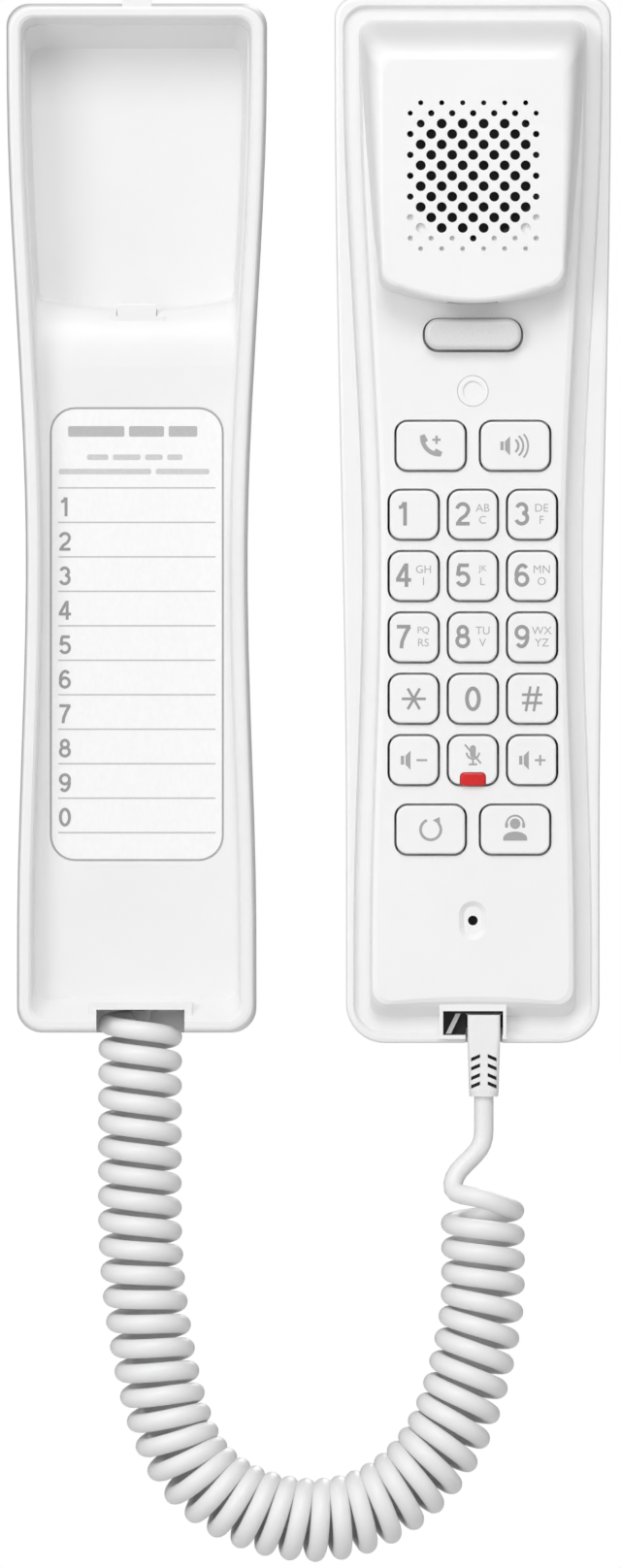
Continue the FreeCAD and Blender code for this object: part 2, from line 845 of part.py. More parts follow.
def face_openings(body):
    """Openings of the keys, hook button, lamp, microphone and hook tab."""
    keys = new_sketch(body, "key_openings", "face_height + 1")
    gap = cell("key_gap")
    for _, x, z, wide in key_places():
        width = cell("wide_key_width") if wide else cell("key_size")
        corner = cell("key_corner") + gap
        add_rounded(keys, width + 2 * gap, cell("key_size") + 2 * gap, corner, x, z)
    pocket(keys, "face_height")
    hook = new_sketch(body, "hook_opening", "face_height + 1")
    width, height = cell("hook_width") + 1.0, cell("hook_height") + 0.75
    add_rounded(hook, width, height, cell("hook_corner") + 0.4, 0.0, cell("hook_z") - 0.2)
    pocket(hook, "face_height")
    lamp = new_sketch(body, "lamp_opening", "face_height + 1")
    add_circle(lamp, "lamp_radius + 0.08", "0", "lamp_z")
    add_circle(lamp, "mic_hole", "0", "mic_z")
    pocket(lamp, "face_height")
    dish = []
    for name, level, width, height in (
        ("dish_rim", "face_height", 6.0, 8.5),
        ("dish_floor", "face_height - 1", 3.8, 6.2),
    ):
        outline = new_sketch(body, name, level)
        add_rounded(outline, width, height, width / 2 - 0.01, 0.0, cell("mic_z"))
        dish.append(outline)
    dimple = body.newObject("PartDesign::SubtractiveLoft", "mic_dimple")
    dimple.Profile = dish[0]
    dimple.Sections = dish[1:]
    dimple.Ruled = True
    body.Tip = dimple
    cuts.append(dimple)
    doc.recompute()
    tab = new_sketch(body, "tab_opening", "face_height + 7")
    add_rectangle(tab, "11", "6", "0", "46")
    pocket(tab, "6.6")


def grille_holes():
    """(x, z, radius, open) of each hole of the receiver's grille."""
    across, down = cell("grille_pitch_x"), cell("grille_pitch_z")
    rows = 15
    for row in range(rows):
        count = 7 if row % 2 else 6
        for k in range(count):
            place = k - (count - 1) / 2
            end = count == 7 and k in (0, 6)
            radius = 0.7 if end else 1.07
            if row == 0:
                radius = 0.55
            elif row == 1:
                radius = 0.55 if end else 0.68
            elif row == 2 and k in (0, 5):
                radius = 0.85
            is_open = row < 11
            if row in (11, 12):
                is_open = not (end or (row == 12 and k in (0, 5)))
            if row == 13:
                radius, is_open = (0.7, True) if k == 3 else (0.55, False)
            if row == 14:
                radius, is_open = 0.5, False
            yield place * across, cell("grille_top_z") - row * down, radius, is_open


def grille(body):
    """Staggered round holes over the receiver. Its lowest holes are blind."""
    through = new_sketch(body, "grille_through", "hump_height + 1")
    blind = new_sketch(body, "grille_blind", "hump_height + 1")
    for x, z, radius, is_open in grille_holes():
        hole = Part.Circle(Vector(x, z, 0), Vector(0, 0, 1), radius)
        (through if is_open else blind).addGeometry(hole, False)
    pocket(through, "4")
    pocket(blind, "2.1")


def handset_back_shell():
    """The rounded back of the handset, hollow, with posts for its four screws."""
    body = handset_body("handset_back_shell")
    outer = [
        ("-1 * shell_split", 0.0),
        ("-7", 0.25),
        ("-11", 1.2),
        ("-14", 3.2),
        ("-16", 6.4),
        ("-17", 11.0),
    ]
    length_share = 1.5
    loft(
        body,
        "back_outer",
        flange_half,
        [
            (forward, 112.9 - inset * length_share, -114.0 + inset * length_share, inset, 0)
            for forward, inset in outer
        ],
        (4.4, 8.4),
        ruled=False,
    )
    inner = [
        ("-1 * shell_split", 2.2),
        ("-7", 2.4),
        ("-11", 3.4),
        ("-13.2", 5.4),
        ("-14.6", 8.6),
    ]
    loft(
        body,
        "back_inner",
        flange_half,
        [
            (forward, 112.9 - inset * length_share, -114.0 + inset * length_share, inset, 0)
            for forward, inset in inner
        ],
        (3.0, 6.4),
        cut=True,
        ruled=False,
    )
    posts = new_sketch(body, "back_posts", "-15.5")
    holes = new_sketch(body, "back_post_holes", "-20")
    heads = new_sketch(body, "back_post_heads", "-20")
    for side in ("-1", "1"):
        for name in ("handset_boss_top_z", "handset_boss_bottom_z"):
            add_circle(posts, "boss_radius", f"{side} * handset_boss_x", name)
            add_circle(holes, "screw_radius + 0.2", f"{side} * handset_boss_x", name)
            add_circle(heads, "screw_head_radius + 0.2", f"{side} * handset_boss_x", name)
    pad(posts, "7.5")
    pocket(holes, "20", forward=True)
    pocket(heads, "6.6", forward=True)
    way_out = new_sketch(body, "boot_notch", "-1 * shell_split + 1")
    add_rectangle(way_out, "plug_width + 0.4", "12", "plug_x", "-112 - 2")
    pocket(way_out, "2.3")
    return body


def handset_screws():
    """Four screws from the back into the front shell's posts."""
    across = cell("handset_x")
    under_head = -cell("handset_forward") + 13.4
    heights = (cell("handset_boss_top_z"), cell("handset_boss_bottom_z"))
    places = [
        (across + side * cell("handset_boss_x"), under_head, z) for z in heights for side in (-1, 1)
    ]
    return screw_group("handset_screws", places, "11")


# ---------------------------------------------------------------- handset's inner pieces


def receiver_capsule():
    """Earpiece transducer behind the grille."""
    body = handset_body("receiver_capsule", z="receiver_z")
    disc(body, "receiver_radius", "hump_height - wall - 1 - 6", start="6")
    disc(body, "receiver_radius - 5", "6", start="0")
    return body


def receiver_gasket():
    """Foam ring between the capsule and the shell."""
    body = handset_body("receiver_gasket", z="receiver_z")
    disc(body, "receiver_radius", "1", start="hump_height - wall - 1")
    hole = new_sketch(body, "gasket_hole", "hump_height")
    add_circle(hole, "receiver_radius - 2.2")
    pocket(hole, "6")
    return body


def lead(label, forward_body, x, corners, width="2.4"):
    """A flat two-wire lead whose side view has these (Y, Z) corners."""
    sketch = new_sketch(forward_body, f"{label}_side", f"{x} - {width} / 2", "YZ_Plane")
    add_polygon(sketch, corners)
    pad(sketch, width)
    return forward_body


def receiver_lead():
    """Lead from the capsule's back to the board."""
    corners = [(0, 70), (0.8, 70), (0.8, 50.6), (4, 48.6), (4, 43.4), (3.2, 43.4), (3.2, 48.2)]
    corners.append((0, 50.2))
    return lead("receiver", handset_body("receiver_lead"), "11", corners)


def microphone_lead():
    """Lead from the microphone to the board."""
    corners = [(4.2, -90), (5, -90), (5, -76), (4, -73), (4, -68), (3.2, -68), (3.2, -72.8)]
    corners.append((4.2, -76.2))
    return lead("microphone", handset_body("microphone_lead"), "0", corners)


def ringer_lead():
    """Lead from the ringer to the line board."""
    corners = [(-7, -60), (-7.8, -60), (-7.8, -52.4), (-15.4, -44.8), (-15.4, -39.5)]
    corners += [(-14.6, -39.5), (-14.6, -44.5), (-7, -52)]
    return lead("ringer", new_body("ringer_lead"), "0", corners)


def microphone_boot():
    """Rubber cup that holds the microphone against its hole."""
    body = handset_body("microphone_boot", z="mic_z")
    disc(body, "mic_radius + 1.5", "6.1", start="-4.2")
    hollow = new_sketch(body, "boot_hollow", "face_height - wall - 1.2")
    add_circle(hollow, "mic_radius")
    pocket(hollow, "4")
    port = new_sketch(body, "boot_port", "face_height")
    add_circle(port, "mic_hole")
    pocket(port, "4")
    return body


def microphone_capsule():
    """Electret microphone inside its boot."""
    body = handset_body("microphone_capsule", z="mic_z")
    disc(body, "mic_radius - 0.02", "3.9", start="face_height - wall - 1.2 - 3.95")
    return body


def keypad_mat():
    """Silicone sheet between the keys and the board."""
    body = handset_body("keypad_mat")
    plate(body, "36", "96", "1.2", "board_front + dome_height", z="-26.5", corner="2")
    return body


def keypad_board():
    """Main circuit board, with an opening for the hook button's stem."""
    body = handset_body("keypad_board")
    start = "board_front - board_thickness"
    plate(body, "36", "124", "board_thickness", start, z="-14", corner="1.5")
    opening = new_sketch(body, "stem_opening", "board_front + 1")
    add_rectangle(opening, "6.4", "4.4", "0", "hook_z")
    pocket(opening, "board_thickness + 2")
    chips = new_sketch(body, "chips", start)
    add_rectangle(chips, "10", "10", "-6", "24")
    add_rectangle(chips, "7", "5", "9", "10")
    add_rectangle(chips, "12", "4", "2.6", "-65.9")
    pad(chips, "1.6", backward=True)
    return body


def contact_domes():
    """One snap dome under each key, as a group of separate solids."""
    domes = []
    for name, x, z, _ in key_places():
        dome = doc.addObject("Part::Cylinder", f"dome_{name}")
        bind(dome, "Radius", "3")
        bind(dome, "Height", "dome_height")
        place = Vector(cell("handset_x") + x, -cell("handset_forward") - cell("board_front"), z)
        dome.Placement = Placement(place, Rotation(Vector(1, 0, 0), 90))
        domes.append(dome)
    group = keep(doc.addObject("Part::Compound", "contact_domes"), "contact_domes")
    group.Links = domes
    return group


def hook_switch():
    """Microswitch behind the board, under the hook button's stem."""
    body = handset_body("hook_switch", z="hook_z")
    plate(body, "12.8", "5.8", "6", start="-10.5")
    legs = new_sketch(body, "switch_legs", "-4.6")
    for side in ("-1", "1"):
        add_rectangle(legs, "1", "5", f"{side} * 5.8")
    pad(legs, "1.4")
    plunger = new_sketch(body, "plunger", "-4.6")
    add_circle(plunger, "0.9")
    pad(plunger, "0.35")
    return body


def hook_spring():
    """Two bent leaves between the board and the hook button's lip."""
    side_view = [(6.0, 1.58), (8.7, -0.88), (9.3, -0.88), (12.0, 1.58)]
    side_view += [(11.4, 1.58), (9.15, -0.5), (8.85, -0.5), (6.6, 1.58)]
    leaves = []
    for side in (-1, 1):
        profile = doc.addObject("Part::Polygon", "leaf_side")
        profile.Nodes = [Vector(side * x, y, 0) for x, y in side_view]
        profile.Close = True
        leaf = doc.addObject("Part::Extrusion", "leaf")
        leaf.Base = profile
        leaf.DirMode = "Custom"
        leaf.Dir = Vector(0, 0, 1)
        leaf.LengthFwd = 3.0
        leaf.Solid = True
        leaves.append(leaf)
        corner = Vector(cell("handset_x"), -cell("handset_forward"), cell("hook_z") - 1.5)
        leaf.Placement.Base = corner
    group = keep(doc.addObject("Part::Compound", "hook_spring"), "hook_spring")
    group.Links = leaves
    return group


def hook_button():
    """Oval button that the base's step presses when the handset hangs up."""
    body = handset_body("hook_button", z="hook_z")
    cap_length = "face_height + hook_proud - 0.9"
    cap = plate(body, "hook_width", "hook_height", cap_length, "0.9", corner="hook_corner")
    front = -(cell("face_height") + cell("hook_proud"))
    dress("Fillet", cap, edges_at(cap, "Y", front), "1.2")
    lip = new_sketch(body, "button_lip", "0.9")
    add_rectangle(lip, "hook_width + 2.6", "hook_height + 2")
    pad(lip, "0.8")
    stem = new_sketch(body, "button_stem", "1")
    add_rectangle(stem, "5", "3")
    pad(stem, "hook_stem + 0.1", backward=True)
    return body


def message_lens():
    """Round window of the message lamp, flush with the face."""
    body = handset_body("message_lens", z="lamp_z")
    disc(body, "lamp_radius", "2.6", start="face_height - 2.55")
    dish = new_sketch(body, "lens_dish", "face_height + 1")
    add_circle(dish, "lamp_radius - 1.1")
    pocket(dish, "1.4")
    disc(body, "lamp_radius + 0.7", "0.7", start="face_height - wall - 0.75")
    return body


def message_led():
    """Light source of the message lamp."""
    body = handset_body("message_led", z="lamp_z")
    plate(body, "3.2", "2.8", "1.4", start="board_front")
    return body


def ballast_weight():
    """Steel bar that gives the handset its heft."""
    body = handset_body("ballast_weight", z="-10")
    plate(body, "20", "60", "5", start="-14.6", corner="2")
    return body


# ---------------------------------------------------------------- keys


def key_places():
    """(name, x, z, wide) of every key in the handset's frame."""
    for row, names in enumerate(KEY_ROWS):
        for column, name in enumerate(names):
            x = (column - 1) * cell("key_pitch_x")
            yield name, x, cell("first_row_z") - row * cell("key_pitch_z"), False
    for name, side, level in WIDE_KEYS:
        yield name, side * cell("wide_key_x"), cell(level), True


def key_cap(label, x, z, wide):
    """A key: a cap through the face with a foot behind it that keeps it in above and below."""
    body = handset_body(label, x, z)
    width = "wide_key_width" if wide else "key_size"
    length = "face_height + key_proud - key_foot"
    cap = plate(body, width, "key_size", length, "key_foot", corner="key_corner")
    front = -(cell("face_height") + cell("key_proud"))
    cap = dress("Fillet", cap, edges_at(cap, "Y", front), "0.4")
    lip = new_sketch(body, "key_lip", "key_foot")
    add_rectangle(lip, f"{width} - 0.6", "key_size + 2 * key_lip")
    pad(lip, "key_lip_thickness")
    if label == "key_mute":
        notch = new_sketch(body, "lamp_notch", "face_height + key_proud + 1")
        clearance = 0.05
        reach = cell("mute_lamp_height") - cell("mute_lamp_drop") + clearance
        corner = cell("mute_lamp_corner") + clearance
        across = cell("mute_lamp_width") + 2 * clearance
        add_rounded(notch, across, 2 * reach, corner, 0.0, -cell("key_size") / 2)
        pocket(notch, "face_height + key_proud - key_foot - key_lip_thickness + 1")
    return body


def keys():
    """All the keys."""
    for row, names in enumerate(KEY_ROWS):
        for column, name in enumerate(names):
            across = f"({column - 1}) * key_pitch_x"
            key_cap(name, across, f"first_row_z - {row} * key_pitch_z", wide=False)
    for name, side, level in WIDE_KEYS:
        key_cap(name, f"({side}) * wide_key_x", level, wide=True)


def mute_lamp():
    """Red window in the lower edge of the mute key."""
    body = handset_body("mute_lamp", z="first_row_z - 4 * key_pitch_z")
    start = "key_foot + key_lip_thickness"
    length = "face_height + key_proud - key_foot - key_lip_thickness"
    middle = "(mute_lamp_height - key_size) / 2 - mute_lamp_drop"
    size = ("mute_lamp_width", "mute_lamp_height", length)
    window = plate(body, *size, start, z=middle, corner="mute_lamp_corner")
    front = -(cell("face_height") + cell("key_proud"))
    dress("Fillet", window, edges_at(window, "Y", front), "0.5")
    return body


# ---------------------------------------------------------------- cord


def handset_cord_jack():
    """Four-pin socket with dark plates that close off the window behind the plug."""
    body = handset_body("handset_cord_jack")
    plate(body, "13.3", "8", "8", start="-6.2", x="1.3", z="-98.2")
    mouth = new_sketch(body, "jack_mouth", "-103", "XY_Plane")
    add_rectangle(mouth, "11", "4.9", "1.35", "1.65")
    pocket(mouth, "7.8", forward=True)
    left = new_sketch(body, "left_plate", "-2.95")
    corners = [(-4.9, -101.2), (-4.9, -102.2), (-4.1, -102.2), (-4.1, -107.2), (-6.4, -107.2)]
    add_polygon(left, corners + [(-6.4, -112.1), (-1.5, -112.1), (-1.5, -101.2)])
    pad(left, "0.8")
    rear = new_sketch(body, "rear_plate", "-5.4")
    add_rectangle(rear, "8.6", "8.4", "2.4", "-106.1")
    pad(rear, "0.9")
    for name, height, z, thickness in (
        ("hood", "6.4", "-104.4", "0.75"),
        ("hood_root", "0.9", "-101.7", "1.2"),
    ):
        hood = new_sketch(body, name, "0.1")
        add_rectangle(hood, "10.8", height, "1.3", z)
        pad(hood, thickness)
    return body


def handset_cord_plug():
    """Clear four-pin plug with its latch, in the handset's socket."""
    body = handset_body("handset_cord_plug", "plug_x")
    plate(body, "plug_width", "12.4", "3.6", start="-3.8", z="-101.7")
    latch = new_sketch(body, "latch", "-1.4")
    add_polygon(latch, [(-3.35, -97), (-3.65, -97.8), (-5.95, -107.3), (-8.25, -112.0),
                        (-7.15, -112.0), (-4.85, -107.3), (-3.35, -99.5)])
    pad(latch, "1.2")
    return body


def handset_cord_boot():
    """Moulded strain relief: a square head that tapers to the cord, with slits."""
    body = handset_body("handset_cord_boot", "plug_x")
    middle = cell("handset_forward") - cell("cord_forward")
    sections = [
        ("-107.9", cell("boot_width"), cell("plug_depth"), 0.8),
        ("-112.6", cell("boot_width"), cell("plug_depth"), 0.8),
        ("-124.4", 6.4, 6.0, 2.2),
        ("-125.6", 6.2, 5.8, 2.5),
    ]
    sketches = []
    for number, (level, width, depth, corner) in enumerate(sections):
        sketch = new_sketch(body, f"boot_section_{number}", level, "XY_Plane")
        add_rounded(sketch, width, depth, corner, 0.0, middle)
        sketches.append(sketch)
    boot = body.newObject("PartDesign::AdditiveLoft", "boot")
    boot.Profile = sketches[0]
    boot.Sections = sketches[1:]
    boot.Ruled = True
    body.Tip = boot
    doc.recompute()
    slits = new_sketch(body, "slits", "6")
    for z in (-116.9, -118.9, -121.0, -122.8):
        for side in (-1, 1):
            corners = [(0.8, 0.55), (2.8, -0.3), (2.8, -1.1), (0.8, -0.25)]
            add_polygon(slits, [(side * x, z + rise) for x, rise in corners])
    pocket(slits, "5.2")
    return body


def base_cord_plug():
    """Clear four-pin plug in the base's socket."""
    body = new_body("base_cord_plug", "base_plug_x", "base_plug_forward", "bay_top")
    sketch = new_sketch(body, "plug_outline", role="XY_Plane")
    add_rectangle(sketch, "plug_width", "plug_depth")
    pad(sketch, "11.4")
    return body


def tube(label, route, radius):
    """A round tube along straight runs joined by the largest tangent arcs that fit."""
    forward = -cell("cord_forward")
    points = [Vector(x, forward, z) for x, z in route]
    edges, start, radii = [], points[0], []
    for before, corner, after in zip(points, points[1:], points[2:]):
        runs = (before - corner, after - corner)
        half_turn = (math.pi - runs[0].getAngle(runs[1])) / 2
        reach = 0.45 * min(run.Length for run in runs)
        radii.append(reach / math.tan(half_turn))
        into, out = (corner + run.normalize() * reach for run in runs)
        middle = corner + (into + out - corner * 2).normalize() * (
            radii[-1] / math.cos(half_turn) - radii[-1]
        )
        edges.append(Part.LineSegment(start, into).toShape())
        edges.append(Part.Arc(into, middle, out).toShape())
        start = out
    edges.append(Part.LineSegment(start, points[-1]).toShape())
    path = Part.Wire(edges)
    profile = Part.Wire(Part.makeCircle(radius, points[0], points[1] - points[0]))
    thing = keep(doc.addObject("Part::Feature", label), label)
    thing.Shape = path.makePipeShell([profile], True, False)
    expected = math.pi * radius**2 * path.Length
    print(label, "length", round(path.Length, 1), "arc radii", [round(r, 1) for r in radii])
    print(label, "volume", round(thing.Shape.Volume), "section times length", round(expected))
    if abs(thing.Shape.Volume / expected - 1) > 0.01:
        raise ValueError(f"{label}: the tube's volume isn't its section times its length")
    return thing


# ---------------------------------------------------------------- make, check and write


def main():
    """Build every sub-part, check the document and write one file for each node."""
    for make in (
        base_front_shell,
        hook_tab,
        base_back_cover,
        wall_bracket,
        label_card,
        base_board,
        network_jack,
        base_cord_jack,
        ringer_speaker,
        ringer_lead,
        base_screws,
        base_feet,
        base_cord_plug,
        handset_front_shell,
        handset_back_shell,
        handset_screws,
        receiver_capsule,
        receiver_gasket,
        receiver_lead,
        microphone_boot,
        microphone_capsule,
        microphone_lead,
        keypad_mat,
        keypad_board,
        contact_domes,
        hook_switch,
        hook_spring,
        hook_button,
        message_lens,
        message_led,
        ballast_weight,
        keys,
        mute_lamp,
        handset_cord_jack,
        handset_cord_plug,
        handset_cord_boot,
    ):
        make()
    tube("cord_coil", COIL_ROUTE, cell("coil_outer") / 2)
    tube("handset_cord_tail", TAIL_ROUTE, cell("strand") / 2)
    doc.recompute()
    for thing in doc.Objects:
        if {"Invalid", "Error"} & set(thing.State):
            raise ValueError(f"{thing.Label} failed: {thing.State}")
    for cut in cuts:
        if cut.Shape.Volume > cut.BaseFeature.Shape.Volume - 1e-3:
            raise ValueError(f"{cut.Label} cuts nothing")
    os.makedirs("parts", exist_ok=True)
    for thing in sub_parts:
        if thing.Shape.isNull() or not thing.Shape.isValid():
            raise ValueError(f"{thing.Label} has no valid shape")
        thing.Shape.exportStep(f"parts/{thing.Label}.step")
    print(len(sub_parts), "nodes written")


main()
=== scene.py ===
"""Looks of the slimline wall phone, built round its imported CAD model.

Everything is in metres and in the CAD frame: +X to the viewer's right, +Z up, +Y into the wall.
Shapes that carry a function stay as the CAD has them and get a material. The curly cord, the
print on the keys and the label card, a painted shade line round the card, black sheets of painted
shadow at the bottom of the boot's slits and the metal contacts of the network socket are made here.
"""
import json
import math

import bmesh
import bpy
from mathutils import Matrix, Vector


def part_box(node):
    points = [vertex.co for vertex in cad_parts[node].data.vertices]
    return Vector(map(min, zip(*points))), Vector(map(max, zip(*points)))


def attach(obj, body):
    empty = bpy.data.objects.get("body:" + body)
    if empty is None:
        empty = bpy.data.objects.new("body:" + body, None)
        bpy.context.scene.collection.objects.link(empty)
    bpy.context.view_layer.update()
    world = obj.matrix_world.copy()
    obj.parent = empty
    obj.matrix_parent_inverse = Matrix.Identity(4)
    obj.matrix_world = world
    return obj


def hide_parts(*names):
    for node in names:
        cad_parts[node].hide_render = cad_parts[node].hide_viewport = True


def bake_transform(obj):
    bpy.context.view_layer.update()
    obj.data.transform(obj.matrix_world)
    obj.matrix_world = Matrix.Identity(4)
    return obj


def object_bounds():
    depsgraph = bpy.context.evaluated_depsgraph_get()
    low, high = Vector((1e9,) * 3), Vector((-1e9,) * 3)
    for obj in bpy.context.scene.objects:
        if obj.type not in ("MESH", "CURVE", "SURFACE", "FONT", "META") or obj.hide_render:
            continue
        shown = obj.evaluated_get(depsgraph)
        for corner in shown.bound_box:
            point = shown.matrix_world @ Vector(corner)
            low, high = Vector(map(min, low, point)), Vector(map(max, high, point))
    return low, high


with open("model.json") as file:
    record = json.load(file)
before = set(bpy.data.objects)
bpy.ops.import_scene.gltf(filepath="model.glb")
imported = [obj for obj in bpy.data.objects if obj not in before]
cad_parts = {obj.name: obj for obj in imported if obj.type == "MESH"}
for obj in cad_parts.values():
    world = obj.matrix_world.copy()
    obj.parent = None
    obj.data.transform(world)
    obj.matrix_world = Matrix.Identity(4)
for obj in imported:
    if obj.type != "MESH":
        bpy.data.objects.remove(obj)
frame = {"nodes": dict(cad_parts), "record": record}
CAD_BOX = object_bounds()

MM = 0.001
FORWARD = Vector((0, -1, 0))

# ---------------------------------------------------------------- camera

VIEW_CENTRE = Vector((37.8, -17.0, -57.8)) * MM
VIEW_HEIGHT = 340.2 * MM
CAMERA_DISTANCE = 5.5
SENSOR_SIZE = 36.0  # in millimetres, as Blender has it


def make_camera():
    """A long lens straight in front, so that depth hardly changes the scale."""
    data = bpy.data.cameras.new("camera")
    data.sensor_width = SENSOR_SIZE
    data.lens = SENSOR_SIZE * CAMERA_DISTANCE / VIEW_HEIGHT
    camera = bpy.data.objects.new("camera", data)
    camera.location = VIEW_CENTRE + FORWARD * CAMERA_DISTANCE
    camera.rotation_euler = (math.pi / 2, 0, 0)
    bpy.context.scene.collection.objects.link(camera)
    bpy.context.scene.camera = camera


make_camera()

# ---------------------------------------------------------------- mesh helpers


def new_piece(name, mesh):
    """Link a mesh to the scene as a piece."""
    piece = bpy.data.objects.new(name, mesh)
    bpy.context.scene.collection.objects.link(piece)
    return piece


def mesh_from(bm, name):
    """A mesh with outward normals from a bmesh, which it frees."""
    bmesh.ops.recalc_face_normals(bm, faces=bm.faces)
    mesh = bpy.data.meshes.new(name)
    bm.to_mesh(mesh)
    bm.free()
    return mesh


def spline_points(name, points, steps):
    """Points along the smooth NURBS curve that has these control points."""
    curve = bpy.data.curves.new(name, "CURVE")
    curve.dimensions = "3D"
    spline = curve.splines.new("NURBS")
    spline.points.add(len(points) - 1)
    for control, point in zip(spline.points, points):
        control.co = (*point, 1.0)
    spline.order_u = 3
    spline.use_endpoint_u = True
    spline.resolution_u = steps
    curve_object = bpy.data.objects.new(name, curve)
    bpy.context.scene.collection.objects.link(curve_object)
    bpy.context.view_layer.update()
    mesh = bpy.data.meshes.new_from_object(curve_object)
    found = [vertex.co.copy() for vertex in mesh.vertices]
    bpy.data.objects.remove(curve_object)
    bpy.data.meshes.remove(mesh)
    return found


def tube_mesh(name, points, radius, sides):
    """A smooth round tube whose rings stand square to a path, with flat closed ends."""
    bm = bmesh.new()
    tangents = [
        (after - before).normalized()
        for before, after in zip([points[0]] + points[:-1], points[1:] + [points[-1]])
    ]
    normal = tangents[0].orthogonal().normalized()
    rings = []
    for point, tangent in zip(points, tangents):
        normal = (normal - tangent * normal.dot(tangent)).normalized()
        binormal = tangent.cross(normal)
        ring = []
        for k in range(sides):
            turn = 2 * math.pi * k / sides
            offset = normal * math.cos(turn) + binormal * math.sin(turn)
            ring.append(bm.verts.new(point + offset * radius))
        rings.append(ring)
    for here, there in zip(rings, rings[1:]):
        for k in range(sides):
            following = (k + 1) % sides
            bm.faces.new((here[k], here[following], there[following], there[k]))
    bm.faces.new(rings[0])
    bm.faces.new(rings[-1])
    mesh = mesh_from(bm, name)
    mesh.shade_smooth()
    mesh.set_sharp_from_angle(angle=math.radians(60))
    return mesh


# ---------------------------------------------------------------- cord

# The cord's route as (X, Z), the same as the CAD's: the middle of its coil, and its straight end.
COIL_ROUTE = [
    (0.00093, -0.1070),
    (0.00070, -0.1370),
    (0.00093, -0.1672),
    (0.0076, -0.2011),
    (0.0194, -0.2137),
    (0.0384, -0.2187),
    (0.0551, -0.2141),
    (0.0683, -0.2000),
    (0.0751, -0.1748),
    (0.0753, -0.1600),
    (0.0751, -0.1470),
]
TAIL_ROUTE = [
    (0.0754, -0.1256),
    (0.0754, -0.1355),
    (0.0690, -0.1418),
    (0.0684, -0.1465),
]
CORD_Y = -0.0170
STRAND = 0.0042
COIL_RADIUS = 0.0070
LEG_PITCH = 0.0053
BOTTOM_PITCH = 0.00465
BOTTOM_HEIGHT = 0.035  # the pitch grows from the bottom's to the legs' over this height
FIRST_TURN = 0.0016  # where the helix starts and ends, from the ends of the coil's middle line
LAST_TURN = 0.0034
POINTS_PER_TURN = 16
AXIS_STEPS = 24
CORD_STEPS = 3
CORD_SIDES = 18


def coil_axis():
    """Points along the middle of the coil, close together."""
    route = [Vector((x, CORD_Y, z)) for x, z in COIL_ROUTE]
    return spline_points("coil_axis", route, AXIS_STEPS)


def coil_controls(axis):
    """The helix's control points round the axis, left-handed, from the plug's side.

    The first point is on the wall side and the last is on the right, where the strand comes
    round to the front for the last time. A quadratic spline runs inside its control points,
    so they stand a little further out than the coil.
    """
    lengths = [0.0]
    for here, there in zip(axis, axis[1:]):
        lengths.append(lengths[-1] + (there - here).length)
    lowest = min(point.z for point in axis)
    turns = [0.0]
    steps = [after - before for before, after in zip(lengths, lengths[1:])]
    for here, there, step in zip(axis, axis[1:], steps):
        height = (here.z + there.z) / 2 - lowest
        share = min(height / BOTTOM_HEIGHT, 1.0)
        pitch = BOTTOM_PITCH + (LEG_PITCH - BOTTOM_PITCH) * share * share * (3 - 2 * share)
        turns.append(turns[-1] + step / pitch)

    def turns_at(distance):
        """How many turns lie before a distance along the axis."""
        k = next(i for i in range(len(steps)) if distance <= lengths[i + 1])
        share = (distance - lengths[k]) / (lengths[k + 1] - lengths[k])
        return turns[k] + (turns[k + 1] - turns[k]) * share

    first, last = turns_at(FIRST_TURN), turns_at(lengths[-1] - LAST_TURN)
    wanted = round(last - first - 0.25) + 0.25
    stretch = wanted / (last - first)
    reach = COIL_RADIUS / (0.75 + 0.25 * math.cos(2 * math.pi / POINTS_PER_TURN))
    to_wall = Vector((0, 1, 0))
    controls = []
    for number in range(round(wanted * POINTS_PER_TURN) + 1):
        turn = number / POINTS_PER_TURN
        count = first + turn / stretch
        k = max(i for i in range(len(turns) - 1) if turns[i] <= count)
        share = (count - turns[k]) / (turns[k + 1] - turns[k])
        middle = axis[k].lerp(axis[k + 1], share)
        along = (axis[min(k + 2, len(axis) - 1)] - axis[max(k - 1, 0)]).normalized()
        across = along.cross(to_wall)
        angle = -2 * math.pi * turn
        controls.append(middle + (to_wall * math.cos(angle) + across * math.sin(angle)) * reach)
    return controls


def make_cord():
    """The curly cord from the base's plug to the boot on the handset's plug."""
    low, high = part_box("base_cord_plug")
    exit_point = Vector(((low.x + high.x) / 2, (low.y + high.y) / 2, low.z))
    controls = [exit_point, exit_point - Vector((0, 0, 0.0008))]
    controls += coil_controls(coil_axis())
    # the last half turn opens into a hairpin, and then comes the straight end, as (X, Y, Z)
    boot_end, bend, slope, apex = TAIL_ROUTE
    controls += [
        Vector((0.0808, -0.0218, -0.1497)),
        Vector((0.0770, -0.0242, -0.1482)),
        Vector((0.0728, -0.0240, -0.1471)),
        Vector((apex[0], -0.0205, apex[1])),
        Vector((slope[0], -0.0188, slope[1] - 0.0006)),
        Vector((0.0733, -0.0176, -0.1384)),
        Vector((bend[0], CORD_Y, bend[1])),
        Vector((boot_end[0], CORD_Y, -0.1305)),
        Vector((boot_end[0], CORD_Y, boot_end[1])),
    ]
    path = spline_points("cord_path", controls, CORD_STEPS)
    piece = new_piece("curly_cord", tube_mesh("curly_cord", path, STRAND / 2, CORD_SIDES))
    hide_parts("cord_coil", "handset_cord_tail")
    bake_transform(piece)
    return piece


cord = make_cord()

# ---------------------------------------------------------------- materials

# Nearly all of a noise texture's output lies between these.
NOISE_LOW, NOISE_HIGH = 0.3, 0.7


